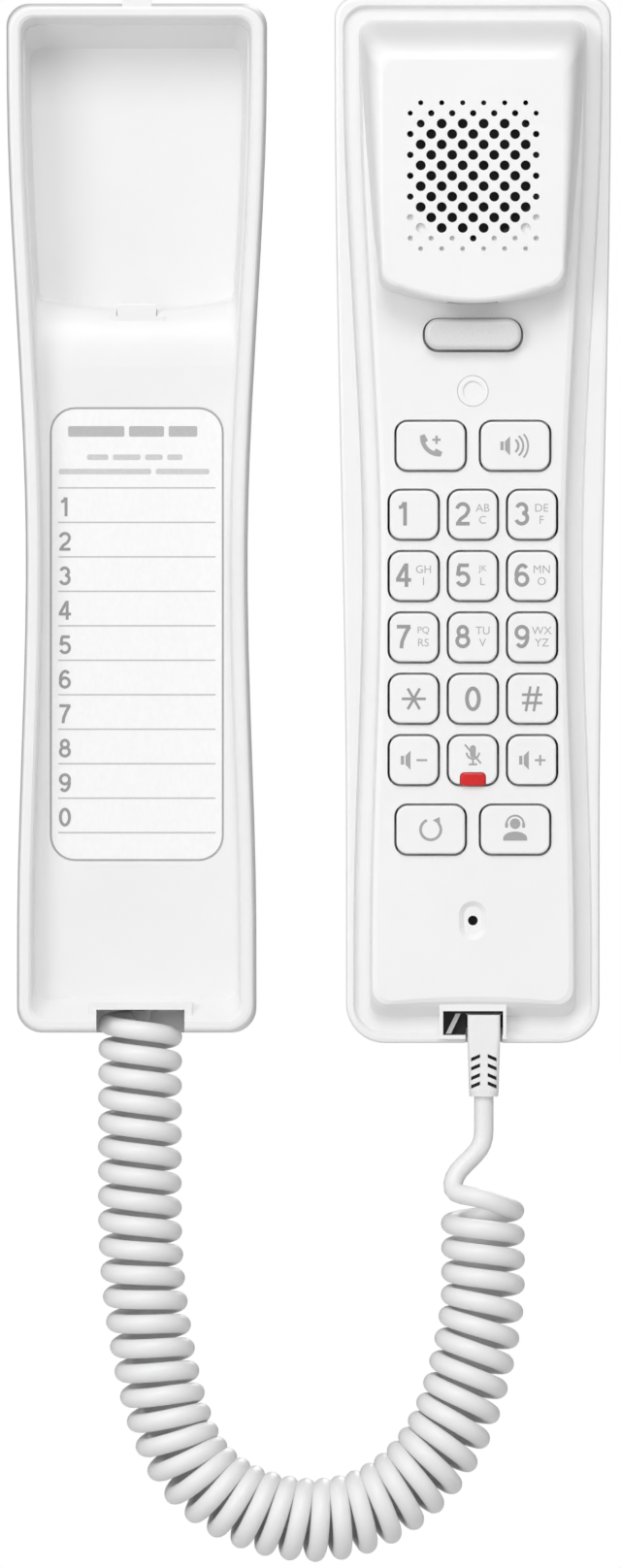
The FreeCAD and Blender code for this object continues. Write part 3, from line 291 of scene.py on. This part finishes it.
def new_material(name):
    """An empty node material and its Principled shader."""
    material = bpy.data.materials.new(name)
    material.use_nodes = True
    shader = material.node_tree.nodes["Principled BSDF"]
    return material, shader


def add_node(material, kind, **inputs):
    """A shader node with some of its inputs set."""
    node = material.node_tree.nodes.new(kind)
    for name, value in inputs.items():
        node.inputs[name.replace("_", " ")].default_value = value
    return node


def add_noise(material, scale, detail=3.0, stretch=(1, 1, 1)):
    """Noise in the object's own coordinates, in features per metre."""
    tree = material.node_tree
    place = tree.nodes.new("ShaderNodeTexCoord")
    mapping = tree.nodes.new("ShaderNodeMapping")
    mapping.inputs["Scale"].default_value = stretch
    noise = add_node(material, "ShaderNodeTexNoise", Scale=scale, Detail=detail)
    tree.links.new(place.outputs["Object"], mapping.inputs["Vector"])
    tree.links.new(mapping.outputs["Vector"], noise.inputs["Vector"])
    return noise


def spread(material, source, low, high):
    """Map a 0 to 1 output to a range."""
    node = add_node(material, "ShaderNodeMapRange", To_Min=low, To_Max=high)
    node.inputs["From Min"].default_value = NOISE_LOW
    node.inputs["From Max"].default_value = NOISE_HIGH
    material.node_tree.links.new(source, node.inputs["Value"])
    return node.outputs["Result"]


def tint(material, source, first, second):
    """A colour between two, by a 0 to 1 output."""
    ramp = material.node_tree.nodes.new("ShaderNodeValToRGB")
    ramp.color_ramp.elements[0].color = (*first, 1)
    ramp.color_ramp.elements[1].color = (*second, 1)
    ramp.color_ramp.elements[0].position = NOISE_LOW
    ramp.color_ramp.elements[1].position = NOISE_HIGH
    material.node_tree.links.new(source, ramp.inputs["Fac"])
    return ramp.outputs["Color"]


def add_bump(material, shader, height, depth):
    """Fine relief, its depth in metres."""
    bump = add_node(material, "ShaderNodeBump", Strength=1.0, Distance=depth)
    material.node_tree.links.new(height, bump.inputs["Height"])
    material.node_tree.links.new(bump.outputs["Normal"], shader.inputs["Normal"])


def set_sockets(shader, **values):
    """Set plain values on the shader's own sockets."""
    for name, value in values.items():
        shader.inputs[name.replace("_", " ")].default_value = value


def moulded(name, light, dark, roughness, grain=2600.0, depth=4e-6, **sockets):
    """Moulded plastic: faint mottling, a fine eroded grain and uneven gloss."""
    material, shader = new_material(name)
    links = material.node_tree.links
    cloud = add_noise(material, 45.0, 2.0)
    links.new(tint(material, cloud.outputs["Fac"], dark, light), shader.inputs["Base Color"])
    fine = add_noise(material, grain, 3.0)
    gloss = spread(material, fine.outputs["Fac"], roughness - 0.05, roughness + 0.07)
    links.new(gloss, shader.inputs["Roughness"])
    add_bump(material, shader, fine.outputs["Fac"], depth)
    set_sockets(shader, IOR=1.5, **sockets)
    return material


def grey(level, warmth=0.0):
    """A neutral colour, slightly warm or cool."""
    return (level + warmth, level, level - warmth)


def sheet_metal(name, level):
    """Zinc-plated sheet with a rolled grain."""
    material, shader = new_material(name)
    links = material.node_tree.links
    streaks = add_noise(material, 900.0, 4.0, stretch=(1, 1, 0.04))
    light, dark = grey(level, -0.01), grey(level * 0.8, -0.01)
    links.new(tint(material, streaks.outputs["Fac"], dark, light), shader.inputs["Base Color"])
    links.new(spread(material, streaks.outputs["Fac"], 0.28, 0.45), shader.inputs["Roughness"])
    add_bump(material, shader, streaks.outputs["Fac"], 3e-6)
    set_sockets(shader, Metallic=1.0)
    return material


def circuit_board():
    """Green solder mask over copper tracks, which run in short straight cells."""
    material, shader = new_material("circuit_board")
    tree = material.node_tree
    place = tree.nodes.new("ShaderNodeTexCoord")
    turned = tree.nodes.new("ShaderNodeMapping")
    turned.inputs["Rotation"].default_value = (math.pi / 2, 0, 0)
    tree.links.new(place.outputs["Object"], turned.inputs["Vector"])
    tracks = add_node(material, "ShaderNodeTexBrick", Scale=160.0, Mortar_Size=0.02)
    tracks.inputs["Color1"].default_value = (0.012, 0.11, 0.045, 1)
    tracks.inputs["Color2"].default_value = (0.016, 0.14, 0.055, 1)
    tracks.inputs["Mortar"].default_value = (0.03, 0.24, 0.10, 1)
    tree.links.new(turned.outputs["Vector"], tracks.inputs["Vector"])
    tree.links.new(tracks.outputs["Color"], shader.inputs["Base Color"])
    fine = add_noise(material, 1500.0)
    tree.links.new(spread(material, fine.outputs["Fac"], 0.3, 0.45), shader.inputs["Roughness"])
    add_bump(material, shader, tracks.outputs["Fac"], 1e-5)
    return material


def printed_card():
    """Smooth card: faint fibre in its colour and relief."""
    material, shader = new_material("printed_card")
    links = material.node_tree.links
    fibre = add_noise(material, 1400.0, 5.0, stretch=(1, 1, 0.5))
    colour = tint(material, fibre.outputs["Fac"], grey(0.86), grey(0.89))
    links.new(colour, shader.inputs["Base Color"])
    links.new(spread(material, fibre.outputs["Fac"], 0.55, 0.7), shader.inputs["Roughness"])
    add_bump(material, shader, fibre.outputs["Fac"], 3e-6)
    return material


def ink(name, level):
    """Printed grey ink with a slightly uneven coat."""
    material, shader = new_material(name)
    links = material.node_tree.links
    cover = add_noise(material, 2200.0, 4.0)
    colour = tint(material, cover.outputs["Fac"], grey(level * 0.94), grey(level * 1.06))
    links.new(colour, shader.inputs["Base Color"])
    links.new(spread(material, cover.outputs["Fac"], 0.45, 0.6), shader.inputs["Roughness"])
    return material


def foam():
    """Open-cell foam."""
    material, shader = new_material("foam")
    tree = material.node_tree
    place = tree.nodes.new("ShaderNodeTexCoord")
    cells = add_node(material, "ShaderNodeTexVoronoi", Scale=1800.0)
    tree.links.new(place.outputs["Object"], cells.inputs["Vector"])
    colour = tint(material, cells.outputs["Distance"], grey(0.01), grey(0.05))
    tree.links.new(colour, shader.inputs["Base Color"])
    add_bump(material, shader, cells.outputs["Distance"], 1e-4)
    set_sockets(shader, Roughness=0.95)
    return material


def gold():
    """Gold-plated contact."""
    material, shader = new_material("gold_contact")
    links = material.node_tree.links
    wipe = add_noise(material, 1600.0, 4.0, stretch=(1, 1, 0.15))
    colour = tint(material, wipe.outputs["Fac"], (0.75, 0.50, 0.18), (0.90, 0.66, 0.28))
    links.new(colour, shader.inputs["Base Color"])
    links.new(spread(material, wipe.outputs["Fac"], 0.18, 0.32), shader.inputs["Roughness"])
    set_sockets(shader, Metallic=1.0)
    return material


WHITE, OFF_WHITE = grey(0.83), grey(0.81)
SLOT_MATERIALS = {
    "base_shell": moulded("base_shell", WHITE, OFF_WHITE, 0.42),
    "handset_shell": moulded("handset_shell", grey(0.86), grey(0.84), 0.36),
    "steel": sheet_metal("zinc_sheet", 0.62),
    "screw_steel": sheet_metal("screw_steel", 0.52),
    "rubber": moulded("rubber", grey(0.30), grey(0.26), 0.75, 1500.0, 1e-5),
    "tab_plastic": moulded("tab_plastic", WHITE, OFF_WHITE, 0.38),
    "paper": printed_card(),
    "circuit_board": circuit_board(),
    "socket_plastic": moulded("socket_plastic", grey(0.012), grey(0.008), 0.5),
    "speaker": moulded("speaker", grey(0.018), grey(0.008), 0.7),
    "foam": foam(),
    "lead_insulation": moulded("lead_insulation", (0.55, 0.03, 0.02), (0.4, 0.02, 0.02), 0.5),
    "silicone": moulded("silicone", grey(0.55, -0.01), grey(0.5, -0.01), 0.6),
    "switch_plastic": moulded("switch_plastic", grey(0.03), grey(0.02), 0.45),
    "button_plastic": moulded("button_plastic", grey(0.70), grey(0.68), 0.28, 2600.0, 8e-7),
    "lens": moulded("lens", grey(0.88), grey(0.86), 0.22, 2600.0, 8e-7),
    "led": moulded("led", (0.9, 0.88, 0.75), (0.85, 0.8, 0.65), 0.15, Transmission_Weight=0.5),
    "key_plastic": moulded("key_plastic", grey(0.86), grey(0.84), 0.34),
    "red_lens": moulded("red_lens", (0.80, 0.012, 0.015), (0.6, 0.008, 0.01), 0.22),
    "plug_plastic": moulded("plug_plastic", grey(0.86), grey(0.83), 0.15, Transmission_Weight=0.25),
    "cord_jacket": moulded("cord_jacket", grey(0.82), grey(0.79), 0.40, 1800.0, 6e-6),
}
KEY_INK = ink("key_ink", 0.30)
ICON_INK = ink("icon_ink", 0.36)
PALE_INK = ink("pale_key_ink", 0.42)
CARD_INK = ink("card_ink", 0.30)
TITLE_INK = ink("title_ink", 0.46)
CARD_PALE_INK = ink("pale_card_ink", 0.58)
LINE_INK = ink("line_ink", 0.50)
# Painted shadow: near-black ink for the sheets in the boot's slits, standing in for their shade.
PAINTED_SLIT_SHADOW = ink("painted_slit_shadow", 0.02)
GOLD = gold()


def paint(piece, material):
    """Give a piece one material."""
    piece.data.materials.clear()
    piece.data.materials.append(material)


for subpart in frame["record"]["subparts"]:
    paint(frame["nodes"][subpart["node"]], SLOT_MATERIALS[subpart["material_slot"]])
paint(cord, SLOT_MATERIALS["cord_jacket"])

# ---------------------------------------------------------------- print

PRINT_THICKNESS = 0.03 * MM
LETTER_EXTRUDE = 0.01  # half the depth that letters are made with, before they are scaled


class Print:
    """Flat printed shapes on one forward face, drawn in millimetres about a centre."""

    def __init__(self, centre):
        self.bm = bmesh.new()
        self.centre = centre
        self.shapes = []

    def place(self, x, z):
        """A point of the drawing on the printed face."""
        return self.bm.verts.new(self.centre + Vector((x * MM, 0, z * MM)))

    def polygon(self, corners):
        """A filled shape."""
        self.shapes.append([self.bm.faces.new([self.place(x, z) for x, z in corners])])

    def bar(self, x, z, width, height, radius=0.0):
        """An upright rectangle, with round corners if a radius is given."""
        self.polygon(rounded(x, z, width, height, radius))

    def outline(self, width, height, radius, line):
        """A line round a rectangle with round corners."""
        self.stroke(rounded(0, 0, width, height, radius), line, closed=True)

    def stroke(self, points, width, closed=False):
        """A line of even width through points, its ends cut square."""
        count = len(points)
        left, right = [], []
        for k, (x, z) in enumerate(points):
            before = points[(k - 1) % count] if closed or k else points[k]
            after = points[(k + 1) % count] if closed or k < count - 1 else points[k]
            dx, dz = after[0] - before[0], after[1] - before[1]
            size = math.hypot(dx, dz)
            nx, nz = -dz / size * width / 2, dx / size * width / 2
            left.append(self.place(x + nx, z + nz))
            right.append(self.place(x - nx, z - nz))
        faces = []
        for k in range(count if closed else count - 1):
            following = (k + 1) % count
            corners = (left[k], left[following], right[following], right[k])
            faces.append(self.bm.faces.new(corners))
        self.shapes.append(faces)

    def arc(self, x, z, radius, start, stop, width):
        """A curved stroke, its angles in degrees from +X towards +Z."""
        self.stroke(ellipse(x, z, radius, radius, start, stop), width)

    def finish(self, name, material, body):
        """Thicken the shapes and put them on their body.

        Shapes of one print may cross, so each one stands a little prouder than the last.
        """
        bmesh.ops.recalc_face_normals(self.bm, faces=self.bm.faces)
        for number, faces in enumerate(self.shapes):
            made = bmesh.ops.extrude_face_region(self.bm, geom=faces, use_keep_orig=True)
            raised = [item for item in made["geom"] if isinstance(item, bmesh.types.BMVert)]
            reach = PRINT_THICKNESS * (1 + number * 0.1)
            bmesh.ops.translate(self.bm, verts=raised, vec=FORWARD * reach)
        piece = new_piece(name, mesh_from(self.bm, name))
        paint(piece, material)
        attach(piece, body)


def ellipse(x, z, across, up, start=0.0, stop=360.0, steps=24):
    """Points along an ellipse or part of one, its angles in degrees from +X towards +Z."""
    turns = [math.radians(start + (stop - start) * k / steps) for k in range(steps + 1)]
    return [(x + across * math.cos(turn), z + up * math.sin(turn)) for turn in turns]


def rounded(x, z, width, height, radius):
    """Corners of a rectangle, rounded if the radius isn't 0."""
    corners = []
    for quarter, (a, b) in enumerate(((1, 1), (-1, 1), (-1, -1), (1, -1))):
        cx, cz = x + a * (width / 2 - radius), z + b * (height / 2 - radius)
        start = 90 * quarter
        corners += ellipse(cx, cz, radius, radius, start, start + 90, 8) if radius else [(cx, cz)]
    return corners


# Centre lines of the digits, in a box one high about its centre. A closed line is a loop.
DIGITS = {
    "0": [ellipse(0, 0, 0.24, 0.42)],
    "1": [[(-0.20, 0.27), (-0.10, 0.29), (-0.02, 0.36), (0.02, 0.49)], [(0.06, 0.5), (0.06, -0.5)]],
    "2": [
        ellipse(0, 0.185, 0.24, 0.235, 172, -22) + [(0.13, -0.06), (-0.09, -0.22), (-0.21, -0.40)],
        [(-0.29, -0.42), (0.29, -0.42)],
    ],
    "3": [
        ellipse(-0.01, 0.205, 0.205, 0.215, 162, -80),
        ellipse(-0.01, -0.185, 0.24, 0.235, 85, -162),
    ],
    "4": [
        [(0.12, 0.5), (0.12, -0.5)],
        [(0.09, 0.45), (-0.25, -0.16)],
        [(-0.32, -0.2), (0.32, -0.2)],
    ],
    "5": [
        [(0.26, 0.42), (-0.19, 0.42)],
        [(-0.16, 0.40), (-0.21, -0.02)],
        ellipse(0, -0.165, 0.245, 0.255, 145, -155),
    ],
    "6": [ellipse(0, -0.175, 0.24, 0.245), ellipse(0.02, -0.03, 0.26, 0.45, 182, 48)],
    "7": [[(-0.29, 0.42), (0.29, 0.42)], [(0.25, 0.42), (0.08, 0.14), (-0.06, -0.2), (-0.1, -0.5)]],
    "8": [ellipse(0, 0.215, 0.19, 0.205), ellipse(0, -0.19, 0.24, 0.23)],
    "9": [ellipse(0, 0.175, 0.24, 0.245), ellipse(-0.02, 0.03, 0.26, 0.45, 2, -132)],
}
DIGIT_WEIGHT = 0.155
KEY_DIGIT_HEIGHT = 5.1
ZERO_HEIGHT = 5.4
LETTER_HEIGHT = 1.7 * MM


def draw_digit(drawing, digit, x, z, height):
    """A plain bold digit."""
    for line in DIGITS[digit]:
        points = [(x + a * height, z + b * height) for a, b in line]
        closed = math.dist(points[0], points[-1]) < 0.01
        drawing.stroke(points[:-1] if closed else points, DIGIT_WEIGHT * height, closed)


def text_mesh(text, centre, height):
    """Letters as a thin solid, centred on a point of a forward face. Sizes are in metres."""
    curve = bpy.data.curves.new("letters", "FONT")
    curve.body = text
    curve.align_x = "CENTER"
    curve.align_y = "CENTER"
    curve.extrude = LETTER_EXTRUDE
    curve.resolution_u = 4
    letters = bpy.data.objects.new("letters", curve)
    bpy.context.scene.collection.objects.link(letters)
    bpy.context.view_layer.update()
    mesh = bpy.data.meshes.new_from_object(letters)
    bpy.data.objects.remove(letters)
    spots = [vertex.co for vertex in mesh.vertices]
    low = Vector(min(co[axis] for co in spots) for axis in range(3))
    high = Vector(max(co[axis] for co in spots) for axis in range(3))
    scale = height / (high.y - low.y)
    middle = (low + high) / 2
    mesh.transform(Matrix.Translation(-middle))
    mesh.transform(Matrix.Diagonal((scale, scale, PRINT_THICKNESS / (2 * LETTER_EXTRUDE), 1)))
    mesh.transform(Matrix.Rotation(math.pi / 2, 4, "X"))
    mesh.transform(Matrix.Translation(centre + FORWARD * PRINT_THICKNESS / 2))
    return mesh


def put_together(name, meshes, material, body):
    """Make one piece on a body from several meshes."""
    bm = bmesh.new()
    for mesh in meshes:
        bm.from_mesh(mesh)
        bpy.data.meshes.remove(mesh)
    mesh = bpy.data.meshes.new(name)
    bm.to_mesh(mesh)
    bm.free()
    piece = new_piece(name, mesh)
    paint(piece, material)
    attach(piece, body)


def front_of(node):
    """Middle of a node's forward face."""
    low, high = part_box(node)
    return Vector(((low.x + high.x) / 2, low.y, (low.z + high.z) / 2))


DIGIT_LETTERS = {
    "1": ("", ""),
    "2": ("AB", "C"),
    "3": ("DE", "F"),
    "4": ("GH", "I"),
    "5": ("JK", "L"),
    "6": ("MN", "O"),
    "7": ("PQ", "RS"),
    "8": ("TU", "V"),
    "9": ("WX", "YZ"),
}


def digit_legends():
    """Digits on the left of their keys, with the letters in two small rows."""
    for digit, rows in DIGIT_LETTERS.items():
        key = f"key_{digit}"
        drawing = Print(front_of(key))
        draw_digit(drawing, digit, -2.2, 0.2, KEY_DIGIT_HEIGHT)
        drawing.finish(f"{key}_digit", KEY_INK, key)
        letters = []
        for row, text in enumerate(rows):
            if text:
                place = front_of(key) + Vector((2.1, 0, 1.5 - 2.6 * row)) * MM
                letters.append(text_mesh(text, place, LETTER_HEIGHT))
        if letters:
            put_together(f"{key}_letters", letters, PALE_INK, key)
    drawing = Print(front_of("key_0"))
    draw_digit(drawing, "0", 0, 0, ZERO_HEIGHT)
    drawing.finish("key_0_digit", KEY_INK, "key_0")


def star_and_hash():
    """The star has six arms, and the hash is two pairs of bars."""
    star = Print(front_of("key_star"))
    for turn in (0, 60, 120):
        across, up = math.cos(math.radians(turn)), math.sin(math.radians(turn))
        star.stroke([(-2.6 * across, -2.6 * up), (2.6 * across, 2.6 * up)], 0.58)
    star.finish("key_star_sign", KEY_INK, "key_star")
    sign = Print(front_of("key_hash"))
    for side in (-1, 1):
        sign.stroke([(side * 0.85 - 0.5, -2.7), (side * 0.85 + 0.5, 2.7)], 0.55)
        sign.stroke([(-2.2, side * 0.9), (2.2, side * 0.9)], 0.55)
    sign.finish("key_hash_sign", KEY_INK, "key_hash")


def small_speaker(drawing, x):
    """A loudspeaker: its magnet and its horn."""
    drawing.bar(x - 1.15, 0, 0.7, 1.9)
    drawing.polygon([(x - 0.5, -0.95), (x + 0.6, -2.1), (x + 0.6, 2.1), (x - 0.5, 0.95)])


def talk_icon():
    """A handset with a small cross."""
    drawing = Print(front_of("key_talk"))
    drawing.arc(1.9, 1.9, 3.75, 195, 255, 0.95)
    drawing.polygon([(-2.35, 2.15), (-1.35, 2.55), (-0.6, 1.15), (-1.5, 0.45), (-2.25, 0.9)])
    drawing.polygon([(2.15, -2.35), (0.9, -2.25), (0.45, -1.5), (1.15, -0.6), (2.55, -1.35)])
    drawing.bar(1.25, 1.3, 1.8, 0.5)
    drawing.bar(1.25, 1.3, 0.5, 1.8)
    drawing.finish("key_talk_icon", ICON_INK, "key_talk")


def loud_icon():
    """A loudspeaker with three waves."""
    drawing = Print(front_of("key_speaker"))
    small_speaker(drawing, -1.7)
    for radius, reach, width in ((1.7, 52, 0.5), (2.75, 50, 0.45), (3.8, 42, 0.4)):
        drawing.arc(-1.0, 0, radius, -reach, reach, width)
    drawing.finish("key_speaker_icon", ICON_INK, "key_speaker")


def volume_icons():
    """A loudspeaker with a minus or a plus."""
    for key, plus in (("key_volume_down", False), ("key_volume_up", True)):
        drawing = Print(front_of(key))
        small_speaker(drawing, -1.3)
        drawing.bar(1.75, 0, 2.3, 0.45)
        if plus:
            drawing.bar(1.75, 0, 0.45, 2.3)
        drawing.finish(f"{key}_icon", ICON_INK, key)


def mute_icon():
    """A microphone on its stand, crossed out."""
    drawing = Print(front_of("key_mute") + Vector((0, 0, 0.9 * MM)))
    drawing.bar(0, 1.0, 1.25, 2.7, 0.6)
    drawing.arc(0, 0.75, 1.35, 180, 360, 0.4)
    drawing.bar(0, -1.2, 0.4, 1.0)
    drawing.bar(0, -1.8, 1.8, 0.4)
    drawing.stroke([(-1.75, 2.5), (1.75, -1.6)], 0.4)
    drawing.finish("key_mute_icon", ICON_INK, "key_mute")


def redial_icon():
    """A circular arrow, open at the top."""
    drawing = Print(front_of("key_redial"))
    drawing.arc(0, 0, 2.2, 112, 402, 0.6)
    drawing.polygon([(0.45, 2.05), (1.95, 2.75), (2.05, 1.0)])
    drawing.finish("key_redial_icon", ICON_INK, "key_redial")


def operator_icon():
    """A head with a headset over a pair of shoulders."""
    drawing = Print(front_of("key_operator"))
    drawing.polygon(ellipse(0, 1.3, 1.15, 1.15)[:-1])
    drawing.arc(0, 1.2, 1.85, 5, 175, 0.42)
    for side in (-1, 1):
        drawing.bar(side * 1.85, 0.95, 0.65, 1.1, 0.25)
    drawing.polygon(ellipse(0, -1.9, 2.6, 1.5, 0, 180))
    drawing.bar(0, -2.1, 5.2, 0.55)
    drawing.finish("key_operator_icon", ICON_INK, "key_operator")


digit_legends()
star_and_hash()
talk_icon()
loud_icon()
volume_icons()
mute_icon()
redial_icon()
operator_icon()


# Places on the label card are in millimetres from its top or its middle.
LABEL_DIGITS = "1234567890"
FIRST_LINE_DROP = 17.45
ROW_HEIGHT = 7.474
RULE_LENGTH = 34.1
RULE_WIDTH = 0.3


def label_print():
    """Ruled lines with a digit between each two, under blank blocks where a title would stand."""
    low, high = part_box("label_card")
    middle = front_of("label_card")
    top = (high.z - low.z) / 2 / MM
    first_line = top - FIRST_LINE_DROP
    lines = Print(middle)
    for k in range(len(LABEL_DIGITS) + 1):
        lines.bar(0, first_line - k * ROW_HEIGHT, RULE_LENGTH, RULE_WIDTH)
    lines.finish("label_lines", LINE_INK, "base")
    # Painted shade: a grey line round the card where the shadow of its recess gap would fall.
    gap_shade = Print(middle)
    gap_shade.outline((high.x - low.x) / MM - 0.4, 2 * top - 0.4, 5.3, 0.35)
    gap_shade.finish("label_painted_gap_shade", ICON_INK, "base")
    digits = Print(middle)
    for k, digit in enumerate(LABEL_DIGITS):
        draw_digit(digits, digit, -15.6, first_line - (k + 0.55) * ROW_HEIGHT, 4.1)
    digits.finish("label_digits", CARD_INK, "base")
    rows = (
        ("label_title_blocks", TITLE_INK, 5.2, 2.3, -14.9, (13.2, 8.6, 7.2)),
        ("label_note_blocks", CARD_PALE_INK, 10.8, 1.2, -10.8, (5.6, 7.0, 4.8, 4.3)),
        ("label_small_blocks", CARD_PALE_INK, 13.9, 1.2, -16.9, (21.0, 12.6)),
    )
    for name, material, down, height, x, widths in rows:
        blocks = Print(middle)
        for width in widths:
            blocks.bar(x + width / 2 - 0.5, top - down, width - 1.0, height, 0.4)
            x += width
        blocks.finish(name, material, "base")


label_print()

# ---------------------------------------------------------------- small fittings and painted slit shadow

# How deep the black sheets of painted shadow sit in the boot's slits.
SLIT_SHADOW_DEPTH = 1.99 * MM
SLIT_HEIGHTS = (9.0, 11.0, 13.1, 14.9)  # down from the boot's top, in millimetres
CONTACTS = 8
CONTACT_PITCH = 1.02 * MM
CONTACT_WIDTH = 0.36 * MM


def paint_slit_shadows():
    """Painted shadow: near-black sheets at the bottom of the boot's slits, standing in for the
    shade deep in them.
    """
    low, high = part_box("handset_cord_boot")
    floor = Print(Vector(((low.x + high.x) / 2, low.y + SLIT_SHADOW_DEPTH, high.z)))
    for down in SLIT_HEIGHTS:
        for side in (-1, 1):
            corners = [(0.9, 0.48), (2.7, -0.28), (2.7, -1.03), (0.9, -0.27)]
            floor.polygon([(side * x, z - down) for x, z in corners])
    floor.finish("boot_slit_painted_shadows", PAINTED_SLIT_SHADOW, "handset")


def socket_contacts():
    """Sprung wires that slope into the network socket's mouth."""
    low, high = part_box("network_jack")
    bm = bmesh.new()
    middle = (low + high) / 2
    profile = [(1.2, 2.2), (8.6, -0.2), (9.0, 0.0), (1.2, 2.6)]
    for wire in range(CONTACTS):
        x = middle.x + (wire - (CONTACTS - 1) / 2) * CONTACT_PITCH
        sides = []
        for edge in (-CONTACT_WIDTH / 2, CONTACT_WIDTH / 2):
            corners = [(x + edge, high.y - y * MM, middle.z + z * MM) for y, z in profile]
            sides.append([bm.verts.new(corner) for corner in corners])
        for side in sides:
            bm.faces.new(side)
        for k in range(4):
            following = (k + 1) % 4
            bm.faces.new((sides[0][k], sides[0][following], sides[1][following], sides[1][k]))
    contacts = new_piece("network_contacts", mesh_from(bm, "network_contacts"))
    paint(contacts, GOLD)
    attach(contacts, "base")


# Painted shadow in the boot's slits, then the socket's contacts.
paint_slit_shadows()
socket_contacts()

# ---------------------------------------------------------------- stage, light and world


FLOOR_SIZE = 3.0
FLOOR_DROP = 0.12
LIGHT_SIZE = 1.0
# The world's light by direction, which goes from 0 behind the wall to 1 in front of it.
BEHIND, BEHIND_LEVEL = 0.44, 0.10
FRONT, FRONT_LEVEL = 0.52, 0.63


def make_stage():
    """A plain pale floor below the phone, which hangs on a wall and stays clear of it."""
    spot = (0, 0, CAD_BOX[0].z - FLOOR_DROP)
    bpy.ops.mesh.primitive_plane_add(size=FLOOR_SIZE, location=spot)
    floor = bpy.context.object
    floor.name = "floor"
    material, shader = new_material("floor")
    cloud = add_noise(material, 3.0)
    colour = tint(material, cloud.outputs["Fac"], grey(0.81), grey(0.82))
    material.node_tree.links.new(colour, shader.inputs["Base Color"])
    set_sockets(shader, Roughness=0.8)
    floor.data.materials.append(material)


def add_area(name, place, power):
    """A square soft light that faces the phone."""
    data = bpy.data.lights.new(name, "AREA")
    data.size = LIGHT_SIZE
    data.energy = power
    light = bpy.data.objects.new(name, data)
    light.location = place
    light.visible_camera = False
    light.rotation_euler = (VIEW_CENTRE - Vector(place)).to_track_quat("-Z", "Y").to_euler()
    bpy.context.scene.collection.objects.link(light)


def make_world():
    """White to the eye. As light it is even in front of the wall and dimmer behind it."""
    world = bpy.data.worlds.new("studio")
    bpy.context.scene.world = world
    world.use_nodes = True
    nodes, links = world.node_tree.nodes, world.node_tree.links
    nodes.clear()
    output, mix = nodes.new("ShaderNodeOutputWorld"), nodes.new("ShaderNodeMixShader")
    seen, lit = nodes.new("ShaderNodeBackground"), nodes.new("ShaderNodeBackground")
    seen.inputs["Color"].default_value = (1, 1, 1, 1)
    path, place = nodes.new("ShaderNodeLightPath"), nodes.new("ShaderNodeTexCoord")
    facing = nodes.new("ShaderNodeVectorMath")
    facing.operation = "DOT_PRODUCT"
    facing.inputs[1].default_value = FORWARD
    links.new(place.outputs["Generated"], facing.inputs[0])
    share = nodes.new("ShaderNodeMapRange")
    share.inputs["From Min"].default_value = -1.0
    links.new(facing.outputs["Value"], share.inputs["Value"])
    ramp = nodes.new("ShaderNodeValToRGB")
    behind, front = ramp.color_ramp.elements
    behind.position, behind.color = BEHIND, (*grey(BEHIND_LEVEL), 1)
    front.position, front.color = FRONT, (*grey(FRONT_LEVEL), 1)
    links.new(share.outputs["Result"], ramp.inputs["Fac"])
    links.new(ramp.outputs["Color"], lit.inputs["Color"])
    links.new(path.outputs["Is Camera Ray"], mix.inputs["Fac"])
    links.new(lit.outputs["Background"], mix.inputs[1])
    links.new(seen.outputs["Background"], mix.inputs[2])
    links.new(mix.outputs["Shader"], output.inputs["Surface"])


make_stage()
make_world()
add_area("key_light", (0.0, -1.95, 1.6), 21.0)
add_area("left_light", (-1.4, -2.0, 0.5), 14.0)
add_area("back_light", (0.6, 1.9, 1.2), 16.0)
bpy.context.scene.view_settings.view_transform = "Standard"
